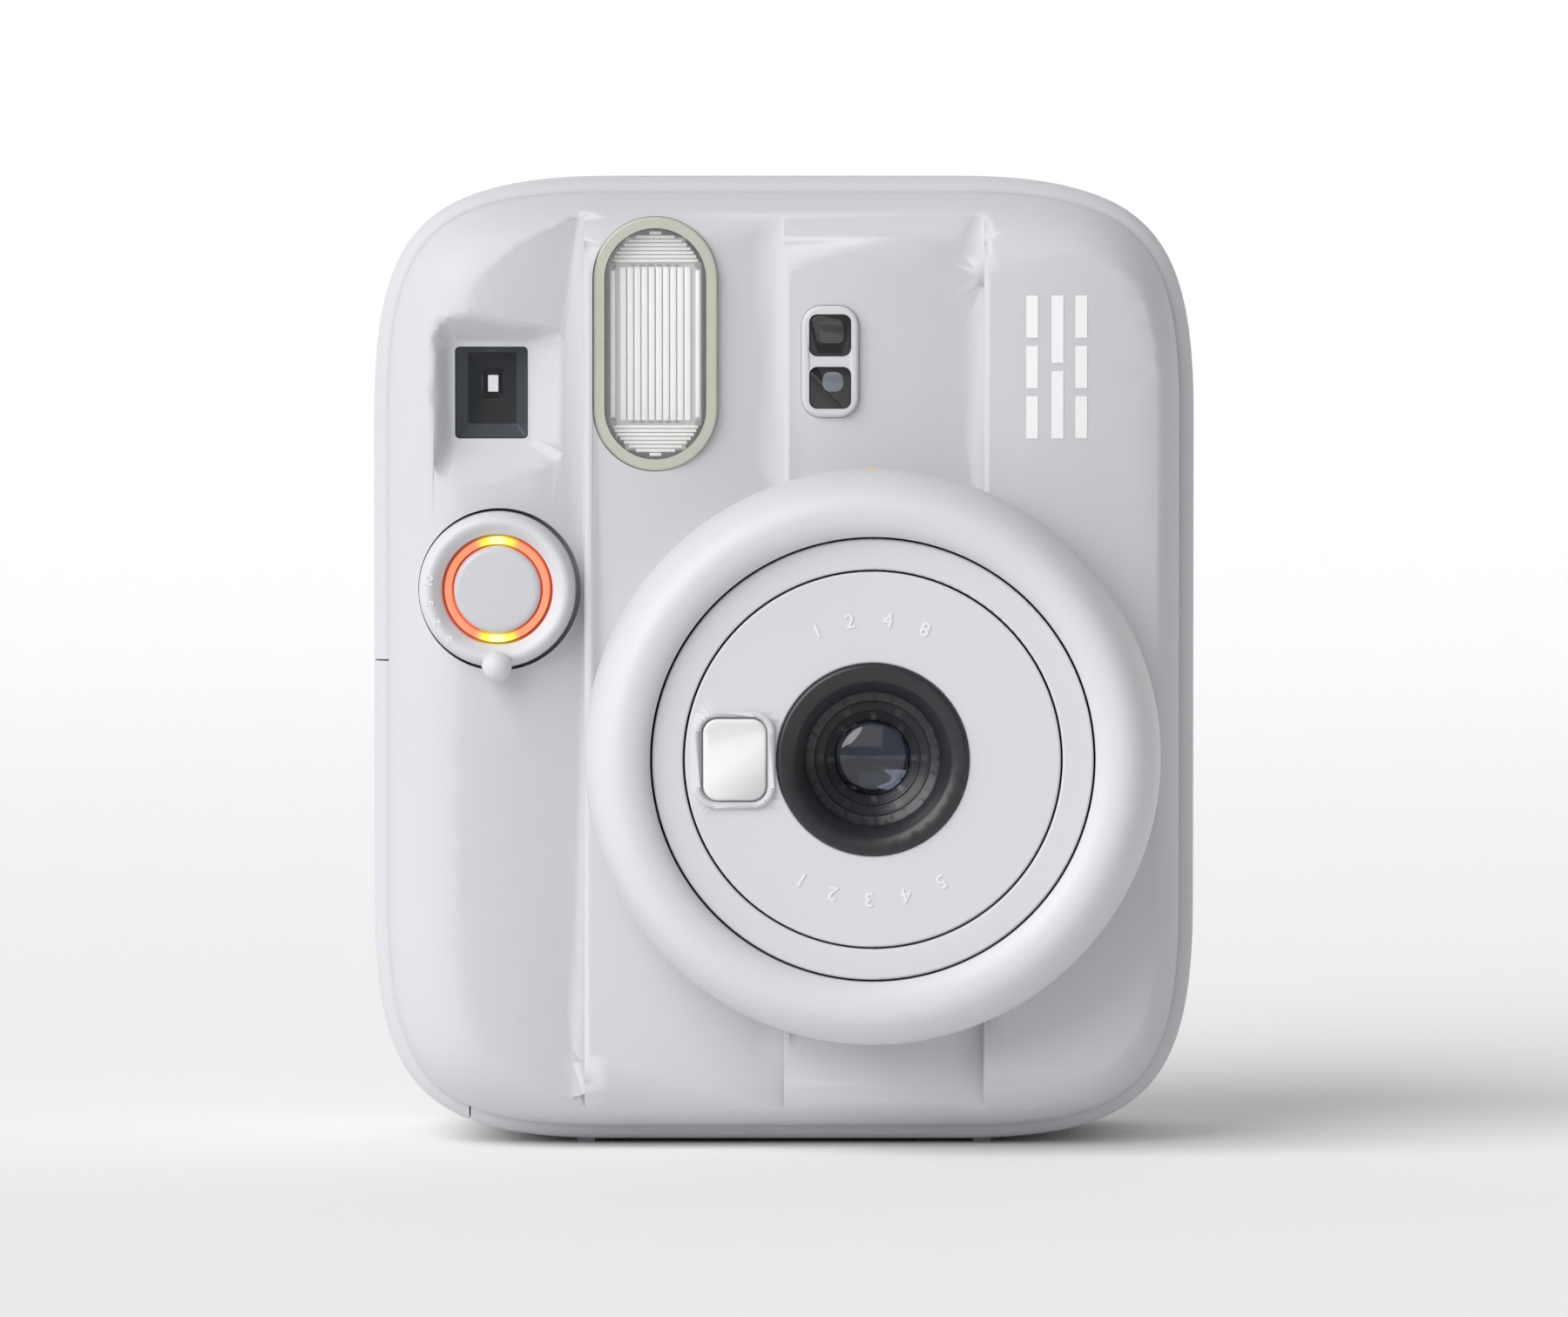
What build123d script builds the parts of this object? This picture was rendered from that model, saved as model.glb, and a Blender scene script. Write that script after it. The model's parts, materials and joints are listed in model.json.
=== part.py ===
"""Instant camera with a twist-out lens, built piece by piece.

Millimetres. X runs to the right seen from the front, Y from the lens (negative) to the film door
(positive) and Z upwards. The origin is under the middle of the camera, on the surface it stands on.
"""

from math import acos, atan2, cos, degrees, pi, radians, sin, sqrt, tan
import os

from build123d import *

# ------------------------------------------------------------------ body sizes
body_width = 104.0
body_height = 122.2
body_depth = 66.6  # from the lens ring's crest to the film door's face
foot_height = 0.6
corner_reach = 30.0  # how far from a corner the sides start to turn
corner_fullness = 0.79  # 0 is a straight cut, 1 is a nearly square corner
wall = 2.0
back_wall = 2.4
seam = 0.2  # gap between outer pieces that part
slip = 0.2  # gap round a piece that slides or turns

front_y = -body_depth / 2
back_y = body_depth / 2
mid_z = foot_height + body_height / 2
top_z = foot_height + body_height
left_x = -body_width / 2
right_x = body_width / 2
inner_back_y = back_y - back_wall
bottom_in_z = foot_height + wall

# front cover
cover_proud = 10.8  # how far the front cover's crest stands in front of its rim
cover_rim_y = front_y + 24.8
cover_front_y = cover_rim_y - cover_proud
cover_inset = 1.9
cover_edge_radius = 10.3
cover_wall = 2.0
pleat_pitch = 25.2
pleat_drop = 3.2
pleat_flat = 10.0  # level part of the first pleat
pleat_edge_radius = 0.8
lip_depth = 3.0
lip_wall = 1.4

# rear body
rear_edge_radius = 7.0
front_edge_radius = 2.3
rim_inset = 4.2
rim_depth = 2.0

# lens group, on one axis
lens_x = 11.1
lens_z = 50.2
ring_radius = 36.2
ring_skirt_radius = ring_radius - 0.7  # where the ring passes through the front cover
ring_crest_radius = ring_radius - 5.0
ring_wall = 1.9
ring_rear_y = cover_rim_y - 1.9
sleeve_radius = ring_radius - 8.6
sleeve_wall = 1.3
ring_mouth_radius = sleeve_radius + 0.25
ring_bore = ring_mouth_radius + 2.4
ring_bore_wall = 1.35
barrel_radius = sleeve_radius - 4.1
barrel_wall = 1.5
face_y = front_y + 2.4
face_thick = 1.4
bezel_radius = (barrel_radius + 0.5) / 2
aperture_radius = 2.6
lens_radius = 4.6
flange_thick = 1.5
flange_y = cover_rim_y + 0.5  # rear face of the lens mount's flange
mirror_width = barrel_radius - bezel_radius - 3.1
mirror_height = 10.6
mirror_offset = (barrel_radius + bezel_radius) / 2 - 0.45
mirror_thick = 0.9

# film path, centred on the lens axis
gate_width = 46.0
gate_height = 62.0
pack_width = 61.2
pack_below_axis = 41.0
pack_height = 95.0
chassis_wall = 1.4
gate_y = cover_rim_y + 18.1  # face that the film pack lies against
gate_wall = 1.6
film_y = gate_y + 0.8
tunnel_wall = 1.2
post_reach = gate_width / 2 + tunnel_wall + 4.9  # how far the lens mount's posts stand from its axis
flange_radius = post_reach + 4.4
roller_radius = 3.35
roller_nip = 0.3
roller_shaft = 1.5
roller_gap = roller_radius + 1.55  # roller axis above the film pack's space
bracket_thick = 1.0

pack_left = lens_x - pack_width / 2
pack_right = lens_x + pack_width / 2
pack_low = lens_z - pack_below_axis
pack_high = pack_low + pack_height
chassis_left = pack_left - chassis_wall
chassis_right = pack_right + chassis_wall
chassis_top = pack_high + chassis_wall - 0.2
roller_z = pack_high + roller_gap
drive_y = film_y - roller_nip / 2 - roller_radius
pinch_y = film_y + roller_nip / 2 + roller_radius

# film door
door_inset = 3.4
door_opening_inset = 3.0
door_left = chassis_left - 1.1
door_top = pack_high + 2.2
hinge_radius = 1.3
hinge_pin_radius = 0.6
hinge_x = right_x - 3.25
hinge_y = back_y - 1.35
knuckle_length = 8.0

# grip side, measured from the left wall
grip_x = left_x + 15.9  # axis of the shutter button
button_z = 71.0
button_radius = 5.5
button_travel = 1.2
light_ring_radius = 6.6
dial_radius = 9.9
dial_hole = dial_radius + 0.35
dial_shift = 0.25  # the dial's hole stands a little to the right of its axis
knob_radius = 1.9
view_x = left_x + 15.1
view_z = 95.7
window_width = 9.2
window_height = 11.6
cell_radius = 7.1
cell_length = 49.2
cell_x = left_x + cell_radius + 6.7
cell_low_z = 10.4
cell_pitch = 2 * cell_radius + 0.4
cell_front_y = 3.4
holder_wall = 1.2
battery_cover_top = 61.7
battery_cover_edge = left_x + 12.2
battery_cover_back = 26.0

# front windows
flash_x = -16.2
flash_z = 101.9
flash_width = 15.8
flash_height = 32.1
gasket_width = 1.5
sensor_x = 5.8
sensor_z = 99.7
sensor_width = 7.3
sensor_height = 14.2
sensor_pitch = 6.6
sensor_window = 5.2

# gear train on the chassis's left side
module = 0.6
gear_width = 2.4
gear_x = chassis_left - 0.7  # right face of every gear
pin_radius = 1.0
pinion_teeth = 12
lower_teeth = 24
upper_teeth = 22
roller_teeth = 16
upper_y = film_y - 1.0
lower_y = film_y
pinion_y = film_y + 3.0


# ------------------------------------------------------------------ helpers
def facing_front(y, x=0.0, z=0.0):
    """Plane across the camera at depth y: X and Y are the camera's X and Z, the normal is forwards."""
    return Plane(origin=(x, y, z), x_dir=(1, 0, 0), z_dir=(0, -1, 0))


def facing_right(x, y=0.0, z=0.0):
    """Plane along the camera at x: its X and Y are the camera's Y and Z, its normal points right."""
    return Plane(origin=(x, y, z), x_dir=(0, 1, 0), z_dir=(1, 0, 0))


def section_at(x, z):
    """Plane for the section of a round piece: its X is the radius and its Y is the camera's Y."""
    return Plane(origin=(x, 0, z))


def along_y(x, z):
    return Axis((x, 0, z), (0, 1, 0))


def body_outline(y, inset=0.0):
    """The body's front outline at depth y, moved in by inset. Its corners turn slowly, then faster."""
    half_w = body_width / 2 - inset
    half_h = body_height / 2 - inset
    reach = corner_reach - inset
    middle = corner_reach * (4 - 3 * corner_fullness) / 8 - (1 - sqrt(0.5)) * inset
    pull = reach * (1 - (4 - 8 * middle / reach) / 3)
    with BuildSketch(facing_front(y, 0, mid_z)) as outline:
        with BuildLine():
            for sx, sz in ((1, 1), (1, -1), (-1, -1), (-1, 1)):
                Bezier(
                    (sx * (half_w - reach), sz * half_h),
                    (sx * (half_w - pull), sz * half_h),
                    (sx * half_w, sz * (half_h - pull)),
                    (sx * half_w, sz * (half_h - reach)),
                )
            for side in (-1, 1):
                Line((reach - half_w, side * half_h), (half_w - reach, side * half_h))
                Line((side * half_w, reach - half_h), (side * half_w, half_h - reach))
        make_face()
    return outline.sketch


def box_between(low, high, mode=Mode.ADD):
    """A box from its lowest corner to its highest one."""
    size = [b - a for a, b in zip(low, high)]
    with Locations(tuple((a + b) / 2 for a, b in zip(low, high))):
        return Box(*size, mode=mode)


def round_bar(x, z, radius, y_front, y_back, mode=Mode.ADD):
    """A cylinder along Y, from y_front to y_back."""
    with BuildSketch(facing_front(y_front, x, z)) as end:
        Circle(radius)
    return extrude(end.sketch, amount=y_front - y_back, mode=mode)


def cross_bar(y, z, radius, x_left, x_right, mode=Mode.ADD):
    """A cylinder along X, from x_left to x_right."""
    with BuildSketch(facing_right(x_left, y, z)) as end:
        Circle(radius)
    return extrude(end.sketch, amount=x_right - x_left, mode=mode)


def slab(x, z, width, height, corner, y_front, y_back, mode=Mode.ADD):
    """A rounded rectangle seen from the front, from y_front to y_back."""
    with BuildSketch(facing_front(y_front, x, z)) as end:
        RectangleRounded(width, height, corner)
    return extrude(end.sketch, amount=y_front - y_back, mode=mode)


def stadium(x, z, width, height, y_front, y_back, mode=Mode.ADD):
    """An upright stadium seen from the front, from y_front to y_back."""
    with BuildSketch(facing_front(y_front, x, z)) as end:
        SlotOverall(height, width, rotation=90)
    return extrude(end.sketch, amount=y_front - y_back, mode=mode)


def save(builder, name):
    builder.part.label = name
    export_step(builder.part, f"parts/{name}.step")


os.makedirs("parts", exist_ok=True)


# ------------------------------------------------------------------ shared body forms
# The whole outside of the rear body, before anything is cut from it.
with BuildPart() as outer_block:
    extrude(body_outline(cover_rim_y), amount=cover_rim_y - back_y)
    fillet(outer_block.edges().group_by(Axis.Y)[-1], rear_edge_radius)
    fillet(outer_block.edges().group_by(Axis.Y)[0], front_edge_radius)

with BuildPart() as body_space:
    extrude(body_outline(cover_rim_y + rim_depth, wall), amount=cover_rim_y + rim_depth - inner_back_y)
    fillet(body_space.edges().group_by(Axis.Y)[-1], rear_edge_radius - wall)
    extrude(body_outline(cover_rim_y - 1, rim_inset), amount=-rim_depth - 2)

with BuildPart() as body_shell:
    add(outer_block.part)
    add(body_space.part, mode=Mode.SUBTRACT)


def door_column(inset, gap):
    """Everything behind the film door's outline, from inside the body to past its back."""
    with BuildSketch(facing_front(inner_back_y)) as field:
        with Locations(((door_left + gap + right_x) / 2, (door_top - gap) / 2)):
            Rectangle(right_x - door_left - gap, door_top - gap)
    with BuildPart() as column:
        extrude(body_outline(inner_back_y, inset), amount=-back_wall - 1)
        extrude(field.sketch, amount=-back_wall - 1, mode=Mode.INTERSECT)
    return column.part


def pleated_block(inset, front, edge_radius, shift):
    """A soft pillow whose front is four pleats: each falls away to the right, then steps up to the next."""
    with BuildPart() as block:
        extrude(body_outline(cover_rim_y, inset), amount=cover_rim_y - front)
        fillet(block.edges().group_by(Axis.Y)[0], edge_radius)
        with BuildSketch(Plane.XY) as profile:
            with BuildLine():
                start = left_x + pleat_flat
                Line((left_x - 1, front), (start, front))
                for step_x in (shift - pleat_pitch, shift, shift + pleat_pitch):
                    Bezier((start, front), ((start + step_x) / 2, front), (step_x, front + pleat_drop))
                    Line((step_x, front + pleat_drop), (step_x, front))
                    start = step_x
                Bezier((start, front), ((start + right_x) / 2, front), (right_x, front + pleat_drop * 1.4))
                Line((right_x, front + pleat_drop * 1.4), (right_x, cover_rim_y + 1))
                Line((right_x, cover_rim_y + 1), (left_x - 1, cover_rim_y + 1))
                Line((left_x - 1, cover_rim_y + 1), (left_x - 1, front))
            make_face()
            reach = pleat_pitch + shift + 1
            crests = [v for v in profile.vertices() if v.Y < front + 0.1 and abs(v.X) < reach]
            fillet(crests, pleat_edge_radius)
        extrude(profile.sketch, amount=top_z + 1, mode=Mode.INTERSECT)
    return block.part


# ------------------------------------------------------------------ front cover
recess_floor_y = cover_front_y + 3.9
recess_back_y = recess_floor_y + 1.8
recess_right = -pleat_pitch - 0.7
dial_boss_y = cover_front_y + 4.7
dial_boss_radius = dial_hole + 1.8
board_y = cover_front_y + 6.9
board_posts = ((lens_x + 4.0, 93.0), (lens_x + 25.0, 93.0), (lens_x + 14.5, 111.0))
post_radius = 1.6
boss_meet_y = 9.8
boss_radius = 2.2
screw_radius = 0.9
screw_clearance = 0.06
boss_front_y = cover_rim_y - 2.5
deep_boss_y = cover_front_y + 2.6
screw_spots = (  # each is x, z and the front end of its boss
    (view_x, top_z - 9.8, deep_boss_y),
    (right_x - 8.4, top_z - 11.8, boss_front_y),
    (left_x + 25.6, 9.0, deep_boss_y),
    (right_x - 6.1, 16.0, boss_front_y),
)

with BuildPart() as view_recess:
    with BuildSketch(facing_front(recess_floor_y, view_x, view_z)):
        RectangleRounded(window_width + 1.2, window_height + 1.2, 0.8)
    with BuildSketch(facing_front(cover_front_y - 1.0, view_x + 4.6, view_z - 1.4)):
        RectangleRounded(window_width + 17.0, window_height + 13.0, 2.5)
    loft()
    box_between((recess_right, front_y, 0), (right_x, back_y, top_z), mode=Mode.SUBTRACT)

# Solid backing behind the finder's recess and the dial, kept inside the cover's wall.
with BuildPart() as cover_backing:
    slab(view_x + 1.8, view_z - 1.2, window_width + 9, window_height + 9, 2, front_y, recess_back_y)
    round_bar(grip_x, button_z, dial_boss_radius, front_y, dial_boss_y)
    add(
        pleated_block(
            cover_inset + cover_wall / 2, cover_front_y + cover_wall / 2, cover_edge_radius - cover_wall / 2,
            cover_wall / 2,
        ),
        mode=Mode.INTERSECT,
    )

with BuildPart() as front_cover:
    add(pleated_block(cover_inset, cover_front_y, cover_edge_radius, 0))
    add(
        pleated_block(
            cover_inset + cover_wall, cover_front_y + cover_wall, cover_edge_radius - cover_wall, cover_wall
        ),
        mode=Mode.SUBTRACT,
    )
    # lip that drops into the rear body
    extrude(body_outline(cover_rim_y - 1.2, cover_inset + 0.5), amount=-1.2)
    extrude(body_outline(cover_rim_y, rim_inset + seam), amount=-lip_depth)
    extrude(
        body_outline(cover_rim_y - 1.3, rim_inset + seam + lip_wall), amount=-lip_depth - 2,
        mode=Mode.SUBTRACT
    )
    # backing, posts and screw bosses
    add(cover_backing.part)
    for x, z in board_posts:
        round_bar(x, z, post_radius, cover_front_y + 1.5, board_y)
    for x, z, start_y in screw_spots:
        round_bar(x, z, boss_radius, start_y, boss_meet_y)
    # openings
    add(view_recess.part, mode=Mode.SUBTRACT)
    slab(view_x, view_z, window_width, window_height, 0.6, front_y, cover_rim_y, mode=Mode.SUBTRACT)
    round_bar(lens_x, lens_z, ring_skirt_radius + 1.5 * seam, front_y, cover_rim_y, mode=Mode.SUBTRACT)
    round_bar(lens_x, lens_z, ring_radius + 2.0, cover_rim_y, cover_rim_y + lip_depth, mode=Mode.SUBTRACT)
    round_bar(grip_x + dial_shift, button_z, dial_hole, front_y, cover_rim_y, mode=Mode.SUBTRACT)
    stadium(flash_x, flash_z, flash_width, flash_height, front_y, cover_rim_y, mode=Mode.SUBTRACT)
    slab(sensor_x, sensor_z, sensor_width, sensor_height, 2.6, front_y, cover_rim_y, mode=Mode.SUBTRACT)
    for x, z, _ in screw_spots:
        round_bar(x, z, screw_radius, boss_meet_y - 9.0, boss_meet_y, mode=Mode.SUBTRACT)
save(front_cover, "front_cover")

# ------------------------------------------------------------------ rear body
slot_width = 57.0
slot_depth = 2.8
slot_rim = 1.6
slot_low_z = top_z - 5.6
eye_size = 12.6
counter_x = view_x
counter_z = 71.0
counter_radius = 8.0
counter_read = 5.4  # how far the numbers stand from the counter's axis
counter_window_size = 4.4
counter_y = inner_back_y - 2.3
latch_x = door_left - 4.2
latch_z = 52.0
latch_travel = 3.0
latch_button_width = 3.4
latch_button_height = 12.0
latch_plate_thick = 1.2
latch_plate_y = inner_back_y - slip  # rear face of the sliding plate inside the body
latch_plate_left = latch_x - latch_button_width / 2 - latch_travel - 1.0
latch_spring_length = 5.6
latch_post_x = latch_plate_left - latch_spring_length - 0.6
cap_radius = 5.0
cap_length = 33.0
cap_x = lens_x - 16.0
cap_y = flange_y + 8.5
cap_z = bottom_in_z + cap_radius + 0.6
strap_y = 12.0
strap_z = 85.0
strap_depth = 4.6
strap_bar_radius = 0.8
strap_bar_in = 1.6  # how far the bar's middle is inside the body's side
foot_width = 2.3
foot_sink = 0.8
foot_front_y = cover_rim_y + 4.0
foot_back_y = 27.0
head_radius = 1.7
head_height = 1.2
head_y = inner_back_y - 1.6
low_boss_y = 26.0  # rear end of the boss that the film door hides
knuckle_starts = [31.0 + i * (knuckle_length + seam) for i in range(3)]
knuckle_starts += [68.0 + i * (knuckle_length + seam) for i in range(3)]
hinge_groove = hinge_radius + 0.3

with BuildPart() as rear_body:
    add(body_shell.part)
    # bosses for the screws, the counter's axle and the strap bars' pockets
    for x, z, _ in screw_spots[:3]:
        round_bar(x, z, boss_radius + 0.4, boss_meet_y, inner_back_y + 0.5)
    low_x, low_z, _ = screw_spots[3]
    round_bar(low_x, low_z, boss_radius, boss_meet_y, low_boss_y)
    box_between((low_x, boss_meet_y, low_z - 1.4), (right_x - wall - 0.6, low_boss_y, low_z + 1.4))
    round_bar(counter_x, counter_z, 1.2, counter_y - 1.2, inner_back_y + 0.5)
    # seat of the latch's spring, and the two saddles that hold the flash's capacitor
    box_between(
        (latch_post_x - 1.2, latch_plate_y - latch_plate_thick - 2.6, latch_z - 2.0),
        (latch_post_x, inner_back_y + 0.5, latch_z + 2.0),
    )
    for x in (cap_x + 6.0, cap_x + cap_length - 9.0):
        box_between(
            (x, cap_y - cap_radius - 0.4, bottom_in_z - 0.5), (x + 3.0, cap_y + cap_radius + 0.4, cap_z)
        )
    cross_bar(
        cap_y, cap_z, cap_radius + 0.02, cap_x - 1, cap_x + cap_length + 1, mode=Mode.SUBTRACT
    )
    for side in (-1, 1):
        with Locations((side * (body_width / 2 - 3.3), strap_y, strap_z)):
            Box(4.8, 10.8, 12.0)
        with Locations((side * body_width / 2, strap_y, strap_z)):
            Box(2 * strap_depth, 8.0, 9.0, mode=Mode.SUBTRACT)
        with Locations((side * (body_width / 2 - strap_bar_in), strap_y, strap_z)):
            Cylinder(strap_bar_radius, 10.0)
    for x, z, _ in screw_spots:
        round_bar(x, z, boss_radius + 0.1, cover_rim_y - 1, boss_meet_y, mode=Mode.SUBTRACT)
    # openings for the film door, the battery cover and the film's way out
    add(door_column(door_opening_inset, 0), mode=Mode.SUBTRACT)
    box_between(
        (left_x - 1, cover_rim_y - 1, -1),
        (battery_cover_edge, battery_cover_back, battery_cover_top),
        mode=Mode.SUBTRACT,
    )
    with BuildSketch(Plane.XY.offset(slot_low_z - 4)):
        with Locations((lens_x, film_y)):
            RectangleRounded(slot_width + 2 * slot_rim, slot_depth + 2 * slot_rim, 1.8)
    extrude(amount=12, mode=Mode.SUBTRACT)
    # openings for the finder, the counter and the latch
    slab(view_x, view_z, eye_size, eye_size, 2.6, inner_back_y - 1, back_y, mode=Mode.SUBTRACT)
    slab(
        counter_x + counter_read,
        counter_z,
        counter_window_size,
        counter_window_size,
        0.8,
        inner_back_y - 1,
        back_y,
        mode=Mode.SUBTRACT,
    )
    slab(
        latch_x - latch_travel / 2,
        latch_z,
        latch_button_width + latch_travel + 2 * slip,
        latch_button_height + 2 * slip,
        0.8,
        inner_back_y - 1,
        back_y,
        mode=Mode.SUBTRACT,
    )
    for x, z, _ in screw_spots[:3]:
        round_bar(x, z, head_radius + 0.3, head_y, back_y, mode=Mode.SUBTRACT)
    for x, z, _ in screw_spots:
        round_bar(x, z, screw_radius + screw_clearance, boss_meet_y, back_y, mode=Mode.SUBTRACT)
    for side in (-1, 1):
        box_between(
            (side * pleat_pitch - foot_width / 2, foot_front_y, 0),
            (side * pleat_pitch + foot_width / 2, foot_back_y, foot_height + foot_sink),
            mode=Mode.SUBTRACT,
        )
    # the film door's hinge: a groove with the housing's two knuckles standing in it
    with BuildSketch(Plane.XY.offset(knuckle_starts[0] - seam)):
        with Locations((hinge_x, hinge_y)):
            Circle(hinge_groove)
    extrude(amount=knuckle_starts[-1] - knuckle_starts[0] + knuckle_length + 2 * seam, mode=Mode.SUBTRACT)
    for start in (knuckle_starts[1], knuckle_starts[4]):
        with BuildSketch(Plane.XY.offset(start)):
            with Locations((hinge_x, hinge_y)):
                Circle(hinge_radius)
            Polygon(
                (hinge_x - 0.3, hinge_y - 1.2),
                (hinge_x + 1.2, hinge_y - 0.3),
                (right_x - wall * 0.7, hinge_y - 3.2),
                (hinge_x + 0.9, hinge_y - 4.2),
                align=None,
            )
        extrude(amount=knuckle_length)
        with BuildSketch(Plane.XY.offset(start)):
            with Locations((hinge_x, hinge_y)):
                Circle(hinge_pin_radius + 0.05)
        extrude(amount=knuckle_length, mode=Mode.SUBTRACT)
save(rear_body, "rear_body")

# ------------------------------------------------------------------ battery cover
cover_low = (left_x - 1, cover_rim_y - 1, -1)
cover_high = (battery_cover_edge - seam, battery_cover_back - seam, battery_cover_top - seam)
grip_grooves = 4

with BuildPart() as battery_cover:
    add(body_shell.part)
    with Locations(tuple((a + b) / 2 for a, b in zip(cover_low, cover_high))):
        Box(*(b - a for a, b in zip(cover_low, cover_high)), mode=Mode.INTERSECT)
    for i in range(grip_grooves):
        groove_z = battery_cover_top - 6.0 - 2.4 * i
        box_between((left_x - 1, 3.0, groove_z), (left_x + 0.5, 15.0, groove_z + 1.0), mode=Mode.SUBTRACT)
save(battery_cover, "battery_cover")

# ------------------------------------------------------------------ film door and what rides on it
door_knuckles = [start for i, start in enumerate(knuckle_starts) if i % 3 != 1]
panel_thick = 1.6
panel_front_y = inner_back_y - panel_thick
panel_margin = 0.8
pack_window_x = lens_x - 12.0
pack_window_z = 66.0
pack_window_width = 9.0
pack_window_height = 22.0

with BuildPart() as film_door:
    add(outer_block.part)
    add(door_column(door_inset, seam), mode=Mode.INTERSECT)
    # a shallow panel line round the middle of the door
    slab(lens_x, pack_low + 44.0, 50.0, 78.0, 4.0, back_y - 0.5, back_y, mode=Mode.SUBTRACT)
    slab(lens_x, pack_low + 44.0, 49.0, 77.0, 3.6, back_y - 0.6, back_y)
    slab(
        pack_window_x, pack_window_z, pack_window_width, pack_window_height, 2.0, inner_back_y, back_y,
        mode=Mode.SUBTRACT,
    )
    with BuildSketch(Plane.XY.offset(knuckle_starts[0])):
        with Locations((hinge_x, hinge_y)):
            Circle(hinge_groove)
    extrude(amount=knuckle_starts[-1] - knuckle_starts[0] + knuckle_length, mode=Mode.SUBTRACT)
    for start in door_knuckles:
        with BuildSketch(Plane.XY.offset(start)):
            with Locations((hinge_x, hinge_y)):
                Circle(hinge_radius)
            with Locations((hinge_x - 1.4, inner_back_y + 0.7)):
                Rectangle(2.6, 1.2)
            with Locations((hinge_x, hinge_y)):
                Circle(hinge_pin_radius + 0.05, mode=Mode.SUBTRACT)
        extrude(amount=knuckle_length)
save(film_door, "film_door")

with BuildPart() as door_panel:
    box_between(
        (pack_left - panel_margin, panel_front_y, pack_low + panel_margin),
        (pack_right, inner_back_y, pack_high - panel_margin),
    )
    fillet(door_panel.edges().filter_by(Axis.Y), 4.0)
    for side in (-1, 1):
        box_between(
            (lens_x + side * 24.0 - 0.6, panel_front_y - 0.8, pack_low + 6.0),
            (lens_x + side * 24.0 + 0.6, panel_front_y, pack_high - 8.0),
        )
    slab(
        pack_window_x, pack_window_z, pack_window_width - 2, pack_window_height - 2, 1.5,
        panel_front_y, back_y,
        mode=Mode.SUBTRACT,
    )
save(door_panel, "door_panel")

with BuildPart() as film_door_window:
    slab(
        pack_window_x, pack_window_z, pack_window_width - 0.1, pack_window_height - 0.1, 1.95, inner_back_y,
        back_y - 0.7,
    )
save(film_door_window, "film_door_window")

spring_wide = 9.0
spring_rise = 2.4
spring_leaf = 0.4

with BuildPart() as pressure_springs:
    for spring_z in (pack_low + 22.0, pack_low + 70.0):
        with BuildSketch(Plane.XY.offset(spring_z - spring_wide / 2)) as leaf:
            with BuildLine():
                left_end = (lens_x + 2.0, panel_front_y)
                right_end = (lens_x + 20.0, panel_front_y)
                ThreePointArc(left_end, (lens_x + 11.0, panel_front_y - spring_rise), right_end)
                Line(right_end, (lens_x + 20.0 - 1.0, panel_front_y))
                ThreePointArc(
                    (lens_x + 19.0, panel_front_y),
                    (lens_x + 11.0, panel_front_y - spring_rise + spring_leaf),
                    (lens_x + 3.0, panel_front_y),
                )
                Line((lens_x + 3.0, panel_front_y), left_end)
            make_face()
        extrude(amount=spring_wide)
save(pressure_springs, "pressure_springs")

with BuildPart() as hinge_pin:
    with BuildSketch(Plane.XY.offset(knuckle_starts[0] + 0.5)):
        with Locations((hinge_x, hinge_y)):
            Circle(hinge_pin_radius)
    extrude(amount=knuckle_starts[-1] - knuckle_starts[0] + knuckle_length - 1.0)
save(hinge_pin, "hinge_pin")

# ------------------------------------------------------------------ door latch
with BuildPart() as door_latch:
    slab(latch_x, latch_z, latch_button_width, latch_button_height, 0.7, latch_plate_y, back_y - 0.1)
    for rib in (-1, 0, 1):
        box_between(
            (latch_x + rib - 0.25, back_y - 0.5, latch_z - 4.5),
            (latch_x + rib + 0.25, back_y, latch_z + 4.5),
            mode=Mode.SUBTRACT,
        )
    box_between(
        (latch_plate_left, latch_plate_y - latch_plate_thick, latch_z - 9.0),
        (door_left + 0.3, latch_plate_y, latch_z + 9.0),
    )
    box_between(
        (latch_plate_left, latch_plate_y - latch_plate_thick - 2.6, latch_z - 1.6),
        (latch_plate_left + 1.2, latch_plate_y, latch_z + 1.6),
    )
save(door_latch, "door_latch")


def coil(start, direction, radius, wire, length, turns):
    """An open coil of wire: its axis runs from the start, in the direction given, for the length given."""
    with BuildLine() as path:
        Helix(pitch=length / turns, height=length, radius=radius, center=start, direction=direction)
    rail = path.wires()[0]
    with BuildSketch(Plane(origin=rail @ 0, z_dir=rail % 0)) as section:
        Circle(wire / 2)
    return sweep(section.sketch, path=rail, is_frenet=True, mode=Mode.PRIVATE)


with BuildPart() as latch_spring:
    latch_spring_start = (latch_post_x + 0.3, latch_plate_y - latch_plate_thick - 1.4, latch_z)
    add(coil(latch_spring_start, (1, 0, 0), 0.95, 0.35, latch_spring_length, 6))
save(latch_spring, "latch_spring")

# ------------------------------------------------------------------ lens mount and ring
tunnel_mouth = sleeve_radius - 6.1
guide_inner = sleeve_radius + 0.3
guide_outer = ring_bore - 0.25
guide_front_y = front_y + 6.0
post_offsets = ((-post_reach, -10.6), (post_reach, -10.6), (-post_reach, 10.6), (post_reach, 10.6))
gate_front_y = gate_y - gate_wall

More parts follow.
